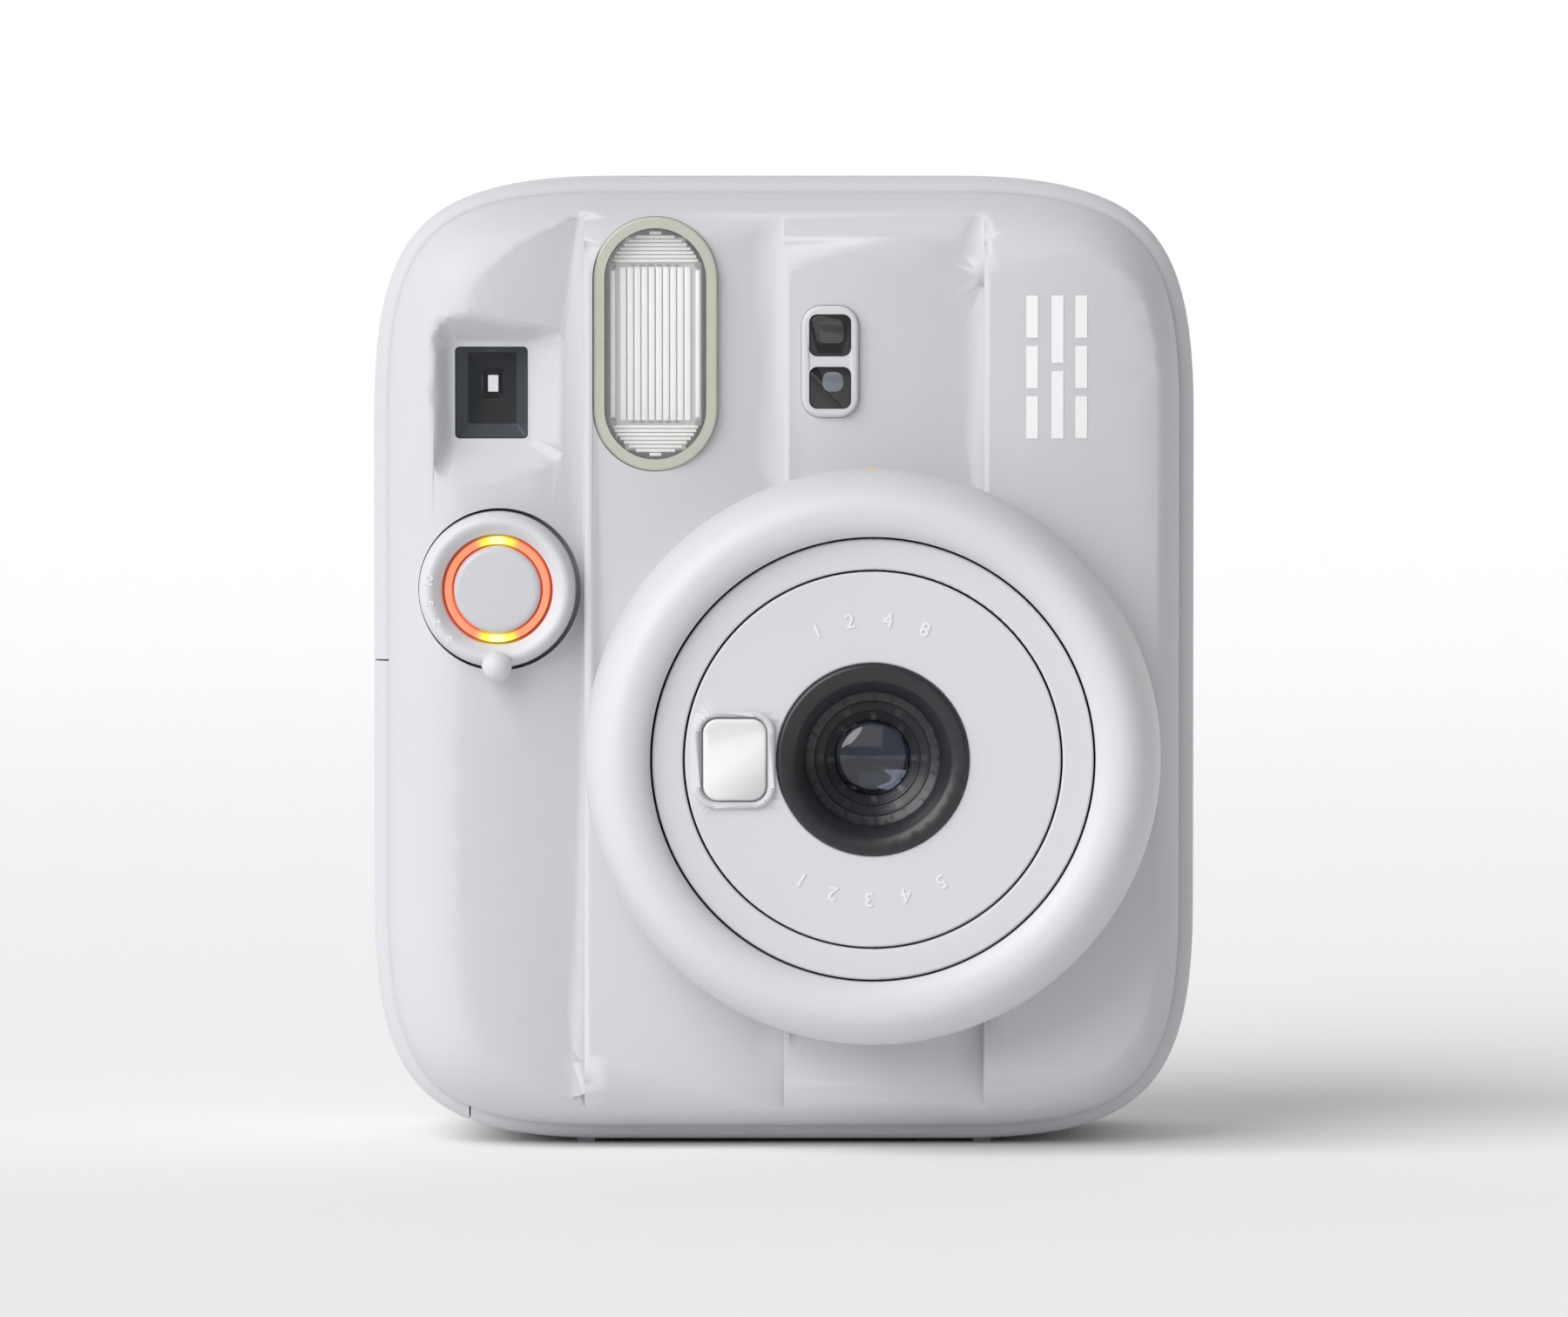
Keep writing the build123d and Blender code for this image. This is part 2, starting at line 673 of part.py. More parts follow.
with BuildPart() as lens_mount:
    round_bar(lens_x, lens_z, flange_radius, flange_y - flange_thick, flange_y)
    round_bar(lens_x, lens_z, guide_outer, guide_front_y, flange_y - flange_thick)
    round_bar(lens_x, lens_z, guide_inner, guide_front_y, flange_y - flange_thick, mode=Mode.SUBTRACT)
    round_bar(lens_x, lens_z, tunnel_mouth, front_y, flange_y, mode=Mode.SUBTRACT)
    for dx, dz in post_offsets:
        round_bar(lens_x + dx, lens_z + dz, 1.9, flange_y, gate_front_y)
save(lens_mount, "lens_mount")

with BuildPart() as lens_ring:
    with BuildSketch(section_at(lens_x, lens_z)) as ring_section:
        with BuildLine():
            shoulder_y = front_y + 9.0
            skirt_y = shoulder_y + 3.2
            Line((ring_skirt_radius, ring_rear_y), (ring_skirt_radius, skirt_y))
            Spline(
                (ring_skirt_radius, skirt_y),
                (ring_radius, shoulder_y),
                tangents=((0, -1), (0, -1)),
            )
            Bezier(
                (ring_radius, shoulder_y),
                (ring_radius, front_y + 3.6),
                (ring_crest_radius + 2.9, front_y),
                (ring_crest_radius, front_y),
            )
            Bezier(
                (ring_crest_radius, front_y),
                (ring_crest_radius - 1.7, front_y),
                (ring_mouth_radius, front_y + 0.8),
                (ring_mouth_radius, front_y + 2.2),
            )
            Line((ring_mouth_radius, front_y + 2.2), (ring_mouth_radius, front_y + 4.6))
            Line((ring_mouth_radius, front_y + 4.6), (ring_bore, front_y + 4.6))
            Line((ring_bore, front_y + 4.6), (ring_bore, ring_rear_y))
            Line((ring_bore, ring_rear_y), (ring_bore + ring_bore_wall, ring_rear_y))
            Line((ring_bore + ring_bore_wall, ring_rear_y), (ring_bore + ring_bore_wall, front_y + 3.0))
            Line((ring_bore + ring_bore_wall, front_y + 3.0), (ring_skirt_radius - ring_wall, shoulder_y))
            Line((ring_skirt_radius - ring_wall, shoulder_y), (ring_skirt_radius - ring_wall, ring_rear_y))
            Line((ring_skirt_radius - ring_wall, ring_rear_y), (ring_skirt_radius, ring_rear_y))
        make_face()
    revolve(axis=along_y(lens_x, lens_z))
save(lens_ring, "lens_ring")

def cupped_tube(outer, inner, tube_wall, inner_wall, front, face, rear):
    """Two tubes joined by a face at the front: the outside slides in one guide, the bore guides the next."""
    with BuildSketch(section_at(lens_x, lens_z)) as section:
        with BuildLine():
            Polyline(
                (outer, rear),
                (outer, front),
                (inner, front),
                (inner, rear),
                (inner + inner_wall, rear),
                (inner + inner_wall, front + face),
                (outer - tube_wall, front + face),
                (outer - tube_wall, rear),
                close=True,
            )
        make_face()
        edge_points = [v for v in section.vertices() if v.Y < front + 0.1]
        fillet(edge_points, 0.3)
    return revolve(section.sketch, axis=along_y(lens_x, lens_z), mode=Mode.PRIVATE)


tube_rear_y = flange_y - flange_thick - 1.5
bezel_seat = bezel_radius + 0.05

with BuildPart() as lens_sleeve:
    add(cupped_tube(sleeve_radius, barrel_radius + 0.25, sleeve_wall, 1.2, face_y, face_thick, tube_rear_y))
save(lens_sleeve, "lens_sleeve")

mirror_x = lens_x - mirror_offset
with BuildPart() as lens_barrel:
    add(cupped_tube(barrel_radius, bezel_seat, barrel_wall, 1.3, face_y, face_thick, tube_rear_y))
    slab(mirror_x, lens_z, mirror_width + 1.6, mirror_height + 1.6, 2.6, face_y - 0.5, face_y + 0.3)
    slab(
        mirror_x, lens_z, mirror_width + 0.1, mirror_height + 0.1, 1.9, face_y - 1,
        face_y + mirror_thick - 0.4,
        mode=Mode.SUBTRACT,
    )
save(lens_barrel, "lens_barrel")

with BuildPart() as selfie_mirror:
    slab(mirror_x, lens_z, mirror_width, mirror_height, 1.85, face_y - 0.4, face_y + mirror_thick - 0.4)
save(selfie_mirror, "selfie_mirror")

# ------------------------------------------------------------------ optics inside the barrel
bezel_front_y = face_y - 0.5
bezel_rear_y = face_y + 7.4
plate_front_y = bezel_rear_y
plate_rear_y = plate_front_y + 1.0
blade_thick = 0.4
blade_gap = 0.2
rear_cell_y = plate_rear_y + 2 * blade_thick + 3 * blade_gap
rear_cell_back_y = rear_cell_y + 4.0
baffles = 3
baffle_step = (bezel_radius - 3.6 - lens_radius) / baffles

with BuildPart() as lens_bezel:
    with BuildSketch(section_at(lens_x, lens_z)) as bezel_section:
        with BuildLine():
            Line((bezel_radius, bezel_rear_y), (bezel_radius, bezel_front_y + 0.5))
            RadiusArc(
                (bezel_radius, bezel_front_y + 0.5), (bezel_radius - 0.5, bezel_front_y), 0.5,
                short_sagitta=True
            )
            points = [(bezel_radius - 0.5, bezel_front_y), (bezel_radius - 1.7, bezel_front_y)]
            points.append((bezel_radius - 3.6, bezel_front_y + 2.0))
            for i in range(baffles):
                radius = bezel_radius - 3.6 - baffle_step * i
                points.append((radius, bezel_front_y + 2.8 + 0.8 * i))
                points.append((radius - baffle_step + 0.2, bezel_front_y + 2.8 + 0.8 * i))
            points.append((lens_radius, bezel_rear_y))
            points.append((bezel_radius, bezel_rear_y))
            Polyline(*points)
        make_face()
    revolve(axis=along_y(lens_x, lens_z))
    round_bar(lens_x, lens_z, lens_radius + 0.02, bezel_rear_y - 2.6, bezel_rear_y, mode=Mode.SUBTRACT)
save(lens_bezel, "lens_bezel")


def dome(r, rim, sag):
    """How far a dome of the given rim radius and sag stands up at radius r."""
    ball = (rim**2 + sag**2) / (2 * sag)
    return sqrt(ball**2 - r**2) - (ball - sag)


def round_glass(x, z, rim, front, rear, front_sag, rear_sag):
    """A round lens that bulges past its front and rear rims by the two sags; a sag of 0 is a flat face."""
    with BuildSketch(section_at(x, z)) as section:
        with BuildLine():
            if front_sag:
                middle = (rim / 2, front - dome(rim / 2, rim, front_sag))
                ThreePointArc((0, front - front_sag), middle, (rim, front))
            else:
                Line((0, front), (rim, front))
            Line((rim, front), (rim, rear))
            if rear_sag:
                middle = (rim / 2, rear + dome(rim / 2, rim, rear_sag))
                ThreePointArc((rim, rear), middle, (0, rear + rear_sag))
            else:
                Line((rim, rear), (0, rear))
            Line((0, rear + rear_sag), (0, front - front_sag))
        make_face()
    return revolve(section.sketch, axis=along_y(x, z), mode=Mode.PRIVATE)


blade_reach = bezel_radius - 3.7
blade_tip = aperture_radius + 0.9
pivot_radius = 0.7

with BuildPart() as shutter_plate:
    round_bar(lens_x, lens_z, bezel_radius, plate_front_y, plate_rear_y)
    round_bar(lens_x, lens_z, aperture_radius, plate_front_y, plate_rear_y, mode=Mode.SUBTRACT)
    for side in (-1, 1):
        round_bar(lens_x + side * blade_reach, lens_z, pivot_radius, plate_rear_y, rear_cell_y)
save(shutter_plate, "shutter_plate")


def blade(side, y):
    """One shutter blade: a round tip over the aperture, hung from its pivot at the side."""
    with BuildSketch(facing_front(y, lens_x, lens_z)) as outline:
        Circle(blade_tip)
        with Locations((side * blade_reach, 0)):
            Circle(1.7)
        Polygon(
            (0, blade_tip * 0.97),
            (side * blade_reach, 1.6),
            (side * blade_reach, -1.6),
            (0, -blade_tip * 0.97),
            align=None,
        )
        with Locations((side * blade_reach, 0)):
            Circle(pivot_radius + 0.1, mode=Mode.SUBTRACT)
    return extrude(outline.sketch, amount=-blade_thick, mode=Mode.PRIVATE)


with BuildPart() as left_blade:
    add(blade(-1, plate_rear_y + blade_gap))
save(left_blade, "left_shutter_blade")

with BuildPart() as right_blade:
    add(blade(1, plate_rear_y + 2 * blade_gap + blade_thick))
save(right_blade, "right_shutter_blade")

with BuildPart() as rear_cell:
    round_bar(lens_x, lens_z, bezel_radius, rear_cell_y, rear_cell_back_y)
    round_bar(lens_x, lens_z, lens_radius - 0.6, rear_cell_y, rear_cell_back_y, mode=Mode.SUBTRACT)
    round_bar(lens_x, lens_z, lens_radius, rear_cell_y + 0.8, rear_cell_back_y, mode=Mode.SUBTRACT)
save(rear_cell, "rear_lens_cell")

with BuildPart() as lens_glasses:
    add(round_glass(lens_x, lens_z, lens_radius, bezel_rear_y - 2.4, bezel_rear_y - 0.4, 0.9, 0))
    add(round_glass(lens_x, lens_z, lens_radius - 0.02, rear_cell_y + 0.8, rear_cell_y + 2.2, 0, 0.7))
save(lens_glasses, "lens_glasses")

# ------------------------------------------------------------------ light tunnel and film chassis
with BuildPart() as light_tunnel:
    with BuildSketch(facing_front(flange_y, lens_x, lens_z)):
        Circle(tunnel_mouth + tunnel_wall)
    with BuildSketch(facing_front(gate_front_y, lens_x, lens_z)):
        RectangleRounded(gate_width + 2 * tunnel_wall, gate_height + 2 * tunnel_wall, 3)
    loft()
    with BuildSketch(facing_front(flange_y, lens_x, lens_z)):
        Circle(tunnel_mouth)
    with BuildSketch(facing_front(gate_front_y, lens_x, lens_z)):
        RectangleRounded(gate_width, gate_height, 2)
    loft(mode=Mode.SUBTRACT)
save(light_tunnel, "light_tunnel")

chassis_low = pack_low - chassis_wall
chassis_back_y = panel_front_y - 1.0
pin_gears_x = gear_x - gear_width - 0.5
pick_y = 15.0
pick_low_z = pack_low + 26.0
pick_length = 27.0
pick_spring_length = 9.0
pick_travel = 7.0
claw_width = 6.0
claw_height = 3.0


def mesh_below(y_above, z_above, y, teeth_above, teeth):
    """Height of a gear's axis at depth y that meshes with the gear above it."""
    reach = module * (teeth_above + teeth) / 2
    return z_above - sqrt(reach**2 - (y - y_above) ** 2)


upper_z = mesh_below(drive_y, roller_z, upper_y, roller_teeth, upper_teeth)
lower_z = mesh_below(upper_y, upper_z, lower_y, upper_teeth, lower_teeth)
pinion_z = mesh_below(lower_y, lower_z, pinion_y, lower_teeth, pinion_teeth)
plate_posts = ((upper_y + 10.5, upper_z - 3.0), (lower_y + 12.5, lower_z - 4.0))

with BuildPart() as film_chassis:
    box_between((chassis_left, gate_front_y, chassis_low), (chassis_right, chassis_back_y, chassis_top))
    fillet(film_chassis.edges().filter_by(Axis.Y), 1.6)
    box_between((pack_left, gate_y, pack_low), (pack_right, back_y, pack_high), mode=Mode.SUBTRACT)
    slab(lens_x, lens_z, gate_width, gate_height, 2, gate_front_y, gate_y, mode=Mode.SUBTRACT)
    # the film leaves upwards through a slot
    box_between(
        (lens_x - slot_width / 2, gate_y, pack_high - 1),
        (lens_x + slot_width / 2, gate_y + slot_depth, chassis_top + 1),
        mode=Mode.SUBTRACT,
    )
    # the pick's claw reaches through the right wall
    box_between(
        (pack_right - 1, pick_y - claw_width / 2 - slip, pick_low_z + 4.0 - slip),
        (
            chassis_right + 1, pick_y + claw_width / 2 + slip,
            pick_low_z + 4.0 + claw_height + pick_travel + slip
        ),
        mode=Mode.SUBTRACT,
    )
    # axle pins for the gears and posts for the gear plate, on the left wall
    for y, z in ((upper_y, upper_z), (lower_y, lower_z)):
        cross_bar(y, z, pin_radius, pin_gears_x, chassis_left)
    for y, z in plate_posts:
        cross_bar(y, z, 1.6, pin_gears_x, chassis_left)
    # seat of the pick's spring, on the right wall
    seat_z = pick_low_z + pick_length + pick_spring_length + 0.9
    box_between(
        (chassis_right - 0.5, pick_y - 2.2, seat_z),
        (chassis_right + 3.4, pick_y + 2.2, seat_z + 1.4)
    )
save(film_chassis, "film_chassis")

# ------------------------------------------------------------------ rollers in their frame
bracket_left = lens_x - 29.3
bracket_right = lens_x + 29.3
bracket_front_y = drive_y - roller_radius - 1.4
bracket_back_y = pinch_y + roller_radius + 0.9
bracket_top = roller_z + roller_radius + 0.4
shaft_gap = 0.1

with BuildPart() as roller_frame:
    box_between((bracket_left, bracket_front_y, chassis_top), (bracket_right, bracket_back_y, bracket_top))
    box_between(
        (bracket_left + bracket_thick, bracket_front_y + 0.8, chassis_top - 1),
        (bracket_right - bracket_thick, bracket_back_y + 1, bracket_top + 1),
        mode=Mode.SUBTRACT,
    )
    for y in (drive_y, pinch_y):
        cross_bar(y, roller_z, roller_shaft + shaft_gap, bracket_left, bracket_right, mode=Mode.SUBTRACT)
save(roller_frame, "roller_frame")

roller_left = bracket_left + bracket_thick + 1.0
roller_right = bracket_right - bracket_thick - 1.0
gear_left = gear_x - gear_width

with BuildPart() as drive_roller:
    cross_bar(drive_y, roller_z, roller_radius, roller_left, roller_right)
    cross_bar(drive_y, roller_z, roller_shaft, gear_left, bracket_right + 0.5)
    for x in (lens_x - 13.5, lens_x, lens_x + 13.5):
        with BuildSketch(facing_right(x - 1.0, drive_y, roller_z)):
            Circle(roller_radius + 0.1)
            Circle(roller_radius - 0.5, mode=Mode.SUBTRACT)
        extrude(amount=2.0, mode=Mode.SUBTRACT)
save(drive_roller, "drive_roller")

with BuildPart() as pinch_roller:
    cross_bar(pinch_y, roller_z, roller_radius, roller_left, roller_right)
    cross_bar(pinch_y, roller_z, roller_shaft, bracket_left - 0.5, bracket_right + 0.5)
save(pinch_roller, "pinch_roller")

# ------------------------------------------------------------------ gear train
pressure_angle = radians(20)
backlash = 0.16
addendum = 0.85
dedendum = 1.15


def gear_sketch(teeth, x, y, z, phase, bore):
    """A spur gear's outline with involute flanks; one tooth's middle stands at the phase, in degrees."""
    pitch_r = module * teeth / 2
    base_r = pitch_r * cos(pressure_angle)
    tip_r = pitch_r + addendum * module
    root_r = pitch_r - dedendum * module
    half_tooth = (pi * module / 2 - backlash) / 2 / pitch_r

    def roll(r):
        turn = acos(min(1.0, base_r / r))
        return tan(turn) - turn

    start_r = max(base_r, root_r)
    flank = []
    for i in range(5):
        r = start_r + (tip_r - start_r) * i / 4
        half = half_tooth + roll(pitch_r) - roll(r)
        flank.append((r * cos(half), r * sin(half)))
    foot_half = half_tooth + roll(pitch_r)
    foot = (root_r * 0.93 * cos(foot_half), root_r * 0.93 * sin(foot_half))
    side = [foot] + flank
    tooth = side + [(a, -b) for a, b in reversed(side)]
    with BuildSketch(facing_right(x, y, z)) as outline:
        Circle(root_r)
        with PolarLocations(0, teeth, start_angle=phase):
            Polygon(*tooth, align=None)
        Circle(bore, mode=Mode.SUBTRACT)
    return outline.sketch


def next_phase(phase, teeth, y, z, next_teeth, next_y, next_z):
    """Angle of one tooth of the next gear in the train, so that it stands in a gap of this one."""
    line = degrees(atan2(next_z - z, next_y - y))
    fraction = (line - phase) * teeth / 360
    return line + 180 + (fraction + 0.5) * 360 / next_teeth


roller_phase = 0.0
upper_phase = next_phase(roller_phase, roller_teeth, drive_y, roller_z, upper_teeth, upper_y, upper_z)
lower_phase = next_phase(upper_phase, upper_teeth, upper_y, upper_z, lower_teeth, lower_y, lower_z)
pinion_phase = next_phase(lower_phase, lower_teeth, lower_y, lower_z, pinion_teeth, pinion_y, pinion_z)

with BuildPart() as roller_gear:
    teeth = gear_sketch(roller_teeth, gear_left, drive_y, roller_z, roller_phase, roller_shaft + 0.01)
    extrude(teeth, amount=gear_width)
save(roller_gear, "roller_gear")

with BuildPart() as upper_gear:
    teeth = gear_sketch(upper_teeth, gear_left, upper_y, upper_z, upper_phase, pin_radius + 0.1)
    extrude(teeth, amount=gear_width)
save(upper_gear, "upper_gear")

with BuildPart() as lower_gear:
    teeth = gear_sketch(lower_teeth, gear_left, lower_y, lower_z, lower_phase, pin_radius + 0.1)
    extrude(teeth, amount=gear_width)
save(lower_gear, "lower_gear")

motor_radius = 7.2
motor_length = 19.0
gear_plate_thick = 1.2
gear_plate_x = pin_gears_x - gear_plate_thick
motor_shaft_radius = 0.8
motor_nose_radius = 2.4

with BuildPart() as motor_pinion:
    teeth = gear_sketch(pinion_teeth, gear_left, pinion_y, pinion_z, pinion_phase, motor_shaft_radius / 2)
    extrude(teeth, amount=gear_width)
    cross_bar(pinion_y, pinion_z, motor_shaft_radius, gear_plate_x - 0.6, gear_x)
save(motor_pinion, "motor_pinion")

with BuildPart() as gear_plate:
    with BuildSketch(facing_right(gear_plate_x)):
        with Locations((upper_y, upper_z), (lower_y, lower_z), *plate_posts):
            Circle(3.0)
        with Locations((pinion_y, pinion_z)):
            Circle(motor_radius - 0.6)
        make_hull()
        with Locations((pinion_y, pinion_z)):
            Circle(motor_nose_radius + 0.05, mode=Mode.SUBTRACT)
    extrude(amount=gear_plate_thick)
save(gear_plate, "gear_plate")

motor_right = gear_plate_x
with BuildPart() as drive_motor:
    cross_bar(pinion_y, pinion_z, motor_radius, motor_right - motor_length, motor_right)
    with Locations((motor_right - motor_length / 2, pinion_y, pinion_z)):
        Box(motor_length, 2 * motor_radius, 2 * motor_radius - 3.2, mode=Mode.INTERSECT)
    cross_bar(pinion_y, pinion_z, motor_nose_radius, motor_right, motor_right + gear_plate_thick)
    cross_bar(
        pinion_y, pinion_z, motor_nose_radius, motor_right - motor_length - 1.2,
        motor_right - motor_length
    )
    cross_bar(
        pinion_y, pinion_z, motor_shaft_radius + 0.1, motor_right - 2, motor_right + gear_plate_thick,
        mode=Mode.SUBTRACT,
    )
    for side in (-1, 1):
        box_between(
            (motor_right - motor_length - 1.6, pinion_y + side * 4.6 - 0.9, pinion_z - 0.3),
            (motor_right - motor_length, pinion_y + side * 4.6 + 0.9, pinion_z + 0.3),
        )
save(drive_motor, "drive_motor")

# ------------------------------------------------------------------ film pick on the chassis's right side
pick_left = chassis_right + slip
pick_thick = 1.2

with BuildPart() as film_pick:
    box_between(
        (pick_left, pick_y - 4.0, pick_low_z),
        (pick_left + pick_thick, pick_y + 4.0, pick_low_z + pick_length)
    )
    fillet(film_pick.edges().filter_by(Axis.X), 1.2)
    box_between(
        (pack_right - 0.6, pick_y - claw_width / 2, pick_low_z + 4.0),
        (pick_left + 0.5, pick_y + claw_width / 2, pick_low_z + 4.0 + claw_height),
    )
    box_between(
        (pick_left, pick_y - 0.6, pick_low_z + 12.0),
        (pick_left + pick_thick, pick_y + 0.6, pick_low_z + 20.0 + pick_travel),
        mode=Mode.SUBTRACT,
    )
save(film_pick, "film_pick")

with BuildPart() as pick_spring:
    pick_spring_start = (pick_left + pick_thick / 2 + 0.7, pick_y, pick_low_z + pick_length + 0.4)
    add(coil(pick_spring_start, (0, 0, 1), 1.3, 0.35, pick_spring_length, 8))
save(pick_spring, "pick_spring")

# ------------------------------------------------------------------ finder
tunnel_front_y = recess_back_y + 0.2
eye_front_y = inner_back_y - 3.0
eye_glass = 3.4

with BuildPart() as finder_tunnel:
    with BuildSketch(facing_front(tunnel_front_y, view_x, view_z)):
        RectangleRounded(window_width + 2.4, window_height + 2.4, 1)
    with BuildSketch(facing_front(eye_front_y, view_x, view_z)):
        RectangleRounded(eye_size - 2.4, eye_size - 2.4, 1)
    loft()
    with BuildSketch(facing_front(tunnel_front_y, view_x, view_z)):
        RectangleRounded(window_width, window_height, 0.6)
    with BuildSketch(facing_front(eye_front_y, view_x, view_z)):
        RectangleRounded(eye_size - 4.8, eye_size - 4.8, 0.6)
    loft(mode=Mode.SUBTRACT)
save(finder_tunnel, "finder_tunnel")

with BuildPart() as eyepiece:
    slab(view_x, view_z, eye_size + 1.6, eye_size + 1.6, 3.0, eye_front_y, inner_back_y)
    slab(view_x, view_z, eye_size - 0.1, eye_size - 0.1, 2.55, inner_back_y, back_y - 0.2)
    with BuildSketch(facing_front(back_y, view_x, view_z)):
        RectangleRounded(eye_size - 2.0, eye_size - 2.0, 2.2)
    with BuildSketch(facing_front(inner_back_y - 0.4, view_x, view_z)):
        Circle(eye_glass + 0.2)
    loft(mode=Mode.SUBTRACT)
    round_bar(view_x, view_z, eye_glass - 0.4, eye_front_y, back_y, mode=Mode.SUBTRACT)
    round_bar(view_x, view_z, eye_glass + 0.02, eye_front_y + 0.8, inner_back_y, mode=Mode.SUBTRACT)
save(eyepiece, "eyepiece")

with BuildPart() as finder_lenses:
    slab(
        view_x, view_z, window_width - 0.1, window_height - 0.1, 0.55, recess_floor_y + 0.5,
        recess_floor_y + 1.7
    )
    add(round_glass(view_x, view_z, eye_glass, eye_front_y + 0.85, eye_front_y + 1.9, 0, 0.6))
save(finder_lenses, "finder_lenses")

# ------------------------------------------------------------------ light sensor's window frame
sensor_front_y = cover_front_y - 0.5

with BuildPart() as sensor_frame:
    slab(
        sensor_x, sensor_z, sensor_width - 0.1, sensor_height - 0.1, 2.55, sensor_front_y,
        sensor_front_y + 4.0
    )
    fillet(sensor_frame.edges().group_by(Axis.Y)[0], 0.5)
    slab(
        sensor_x, sensor_z, sensor_width - 0.1, sensor_height + 2.4, 1, cover_front_y + 2.9,
        sensor_front_y + 4
    )
    for side in (-1, 1):
        slab(
            sensor_x, sensor_z + side * sensor_pitch / 2, sensor_window + 0.1, sensor_window + 0.1, 1.05,
            sensor_front_y, cover_front_y + 6, mode=Mode.SUBTRACT,
        )
save(sensor_frame, "sensor_frame")

with BuildPart() as sensor_windows:
    for side in (-1, 1):
        slab(
            sensor_x, sensor_z + side * sensor_pitch / 2, sensor_window, sensor_window, 1.0,
            sensor_front_y + 0.35, sensor_front_y + 4.0,
        )
save(sensor_windows, "sensor_windows")

# ------------------------------------------------------------------ flash
flash_front_y = cover_front_y + 0.3
glass_width = flash_width - 2 * gasket_width
glass_height = flash_height - 2 * gasket_width
reflector_width = 11.2
reflector_height = 20.0
reflector_front_y = flash_front_y + 2.6
reflector_back_y = flash_front_y + 9.0
tube_radius = 1.4

with BuildPart() as flash_gasket:
    stadium(flash_x, flash_z, flash_width - 0.1, flash_height - 0.1, flash_front_y, flash_front_y + 3.6)
    fillet(flash_gasket.edges().group_by(Axis.Y)[0], 0.35)
    stadium(
        flash_x, flash_z, flash_width + 2.4, flash_height - 5.0, cover_front_y + 5.4,
        flash_front_y + 5.9
    )
    stadium(
        flash_x, flash_z, flash_width - 0.1, flash_height - 0.1, flash_front_y + 2.0,
        flash_front_y + 5.2
    )
    stadium(flash_x, flash_z, glass_width, glass_height, front_y, back_y, mode=Mode.SUBTRACT)
save(flash_gasket, "flash_gasket")

with BuildPart() as flash_window:
    stadium(
        flash_x, flash_z, glass_width - 0.1, glass_height - 0.1, flash_front_y - 0.5,
        flash_front_y + 1.6
    )
    fillet(flash_window.edges().group_by(Axis.Y)[0], 0.7)
save(flash_window, "flash_window")

with BuildPart() as flash_reflector:
    slab(flash_x, flash_z, reflector_width, reflector_height, 0.6, reflector_front_y, reflector_back_y)
    with BuildSketch(facing_front(reflector_front_y - 0.1, flash_x, flash_z)):
        RectangleRounded(reflector_width - 1.0, reflector_height - 1.0, 0.5)
    with BuildSketch(facing_front(reflector_back_y - 1.0, flash_x, flash_z)):
        RectangleRounded(2 * tube_radius + 1.4, reflector_height - 3.0, 0.5)
    loft(mode=Mode.SUBTRACT)
    with Locations((flash_x, reflector_back_y - 2.6, flash_z)):
        Cylinder(tube_radius + 0.05, reflector_height + 2, mode=Mode.SUBTRACT)
save(flash_reflector, "flash_reflector")

with BuildPart() as flash_tube:
    with Locations((flash_x, reflector_back_y - 2.6, flash_z)):
        Cylinder(tube_radius, reflector_height + 4.0)
    fillet(flash_tube.edges(), 0.5)
save(flash_tube, "flash_tube")

# ------------------------------------------------------------------ shutter button and self-timer dial
dial_front_y = cover_front_y - 0.6
dial_crest_y = cover_front_y - 1.9
dial_crest_radius = dial_radius - 1.3
mount_back_y = dial_boss_y + 1.2
button_front_y = dial_front_y - 0.2
button_skirt_y = dial_boss_y - button_travel - 0.4
button_roof_y = button_front_y + 1.8
stem_radius = 1.8
stem_end_y = mount_back_y + 2.6
knob_y = cover_front_y - 2.2
knob_reach = dial_radius - 0.4

with BuildPart() as button_mount:
    round_bar(grip_x, button_z, dial_boss_radius - 0.3, dial_boss_y, mount_back_y)
    with Locations((grip_x + dial_boss_radius - 9.2, (dial_boss_y + mount_back_y) / 2, button_z)):
        Box(2 * dial_boss_radius, 4, 2 * dial_boss_radius, mode=Mode.INTERSECT)
    for angle in (35, 90, 270, 325):
        with Locations(
            (
                grip_x + (dial_boss_radius - 2.0) * cos(radians(angle)),
                mount_back_y,
                button_z + (dial_boss_radius - 2.0) * sin(radians(angle)),
            )
        ):
            Sphere(0.9)
    round_bar(grip_x, button_z, stem_radius + slip, dial_boss_y, mount_back_y, mode=Mode.SUBTRACT)
save(button_mount, "button_mount")

with BuildPart() as timer_light_ring:
    round_bar(grip_x, button_z, light_ring_radius, dial_front_y + 0.1, dial_boss_y)
    round_bar(grip_x, button_z, button_radius + 0.25, dial_front_y + 0.1, dial_boss_y, mode=Mode.SUBTRACT)
save(timer_light_ring, "timer_light_ring")

with BuildPart() as self_timer_dial:
    with BuildSketch(section_at(grip_x, button_z)):
        inner = light_ring_radius + 0.25
        with BuildLine():
            Line((inner, dial_boss_y - slip), (inner, dial_front_y))
            Spline(
                (inner, dial_front_y),
                (dial_crest_radius, dial_crest_y),
                (dial_radius, dial_front_y + 1.4),
                tangents=((0.5, -1), (0, 1)),
            )
            Line((dial_radius, dial_front_y + 1.4), (dial_radius, dial_boss_y - slip))
            Line((dial_radius, dial_boss_y - slip), (inner, dial_boss_y - slip))
        make_face()
    revolve(axis=along_y(grip_x, button_z))
    with Locations((grip_x, knob_y - 0.4, button_z - knob_reach)):
        Sphere(knob_radius)
save(self_timer_dial, "self_timer_dial")

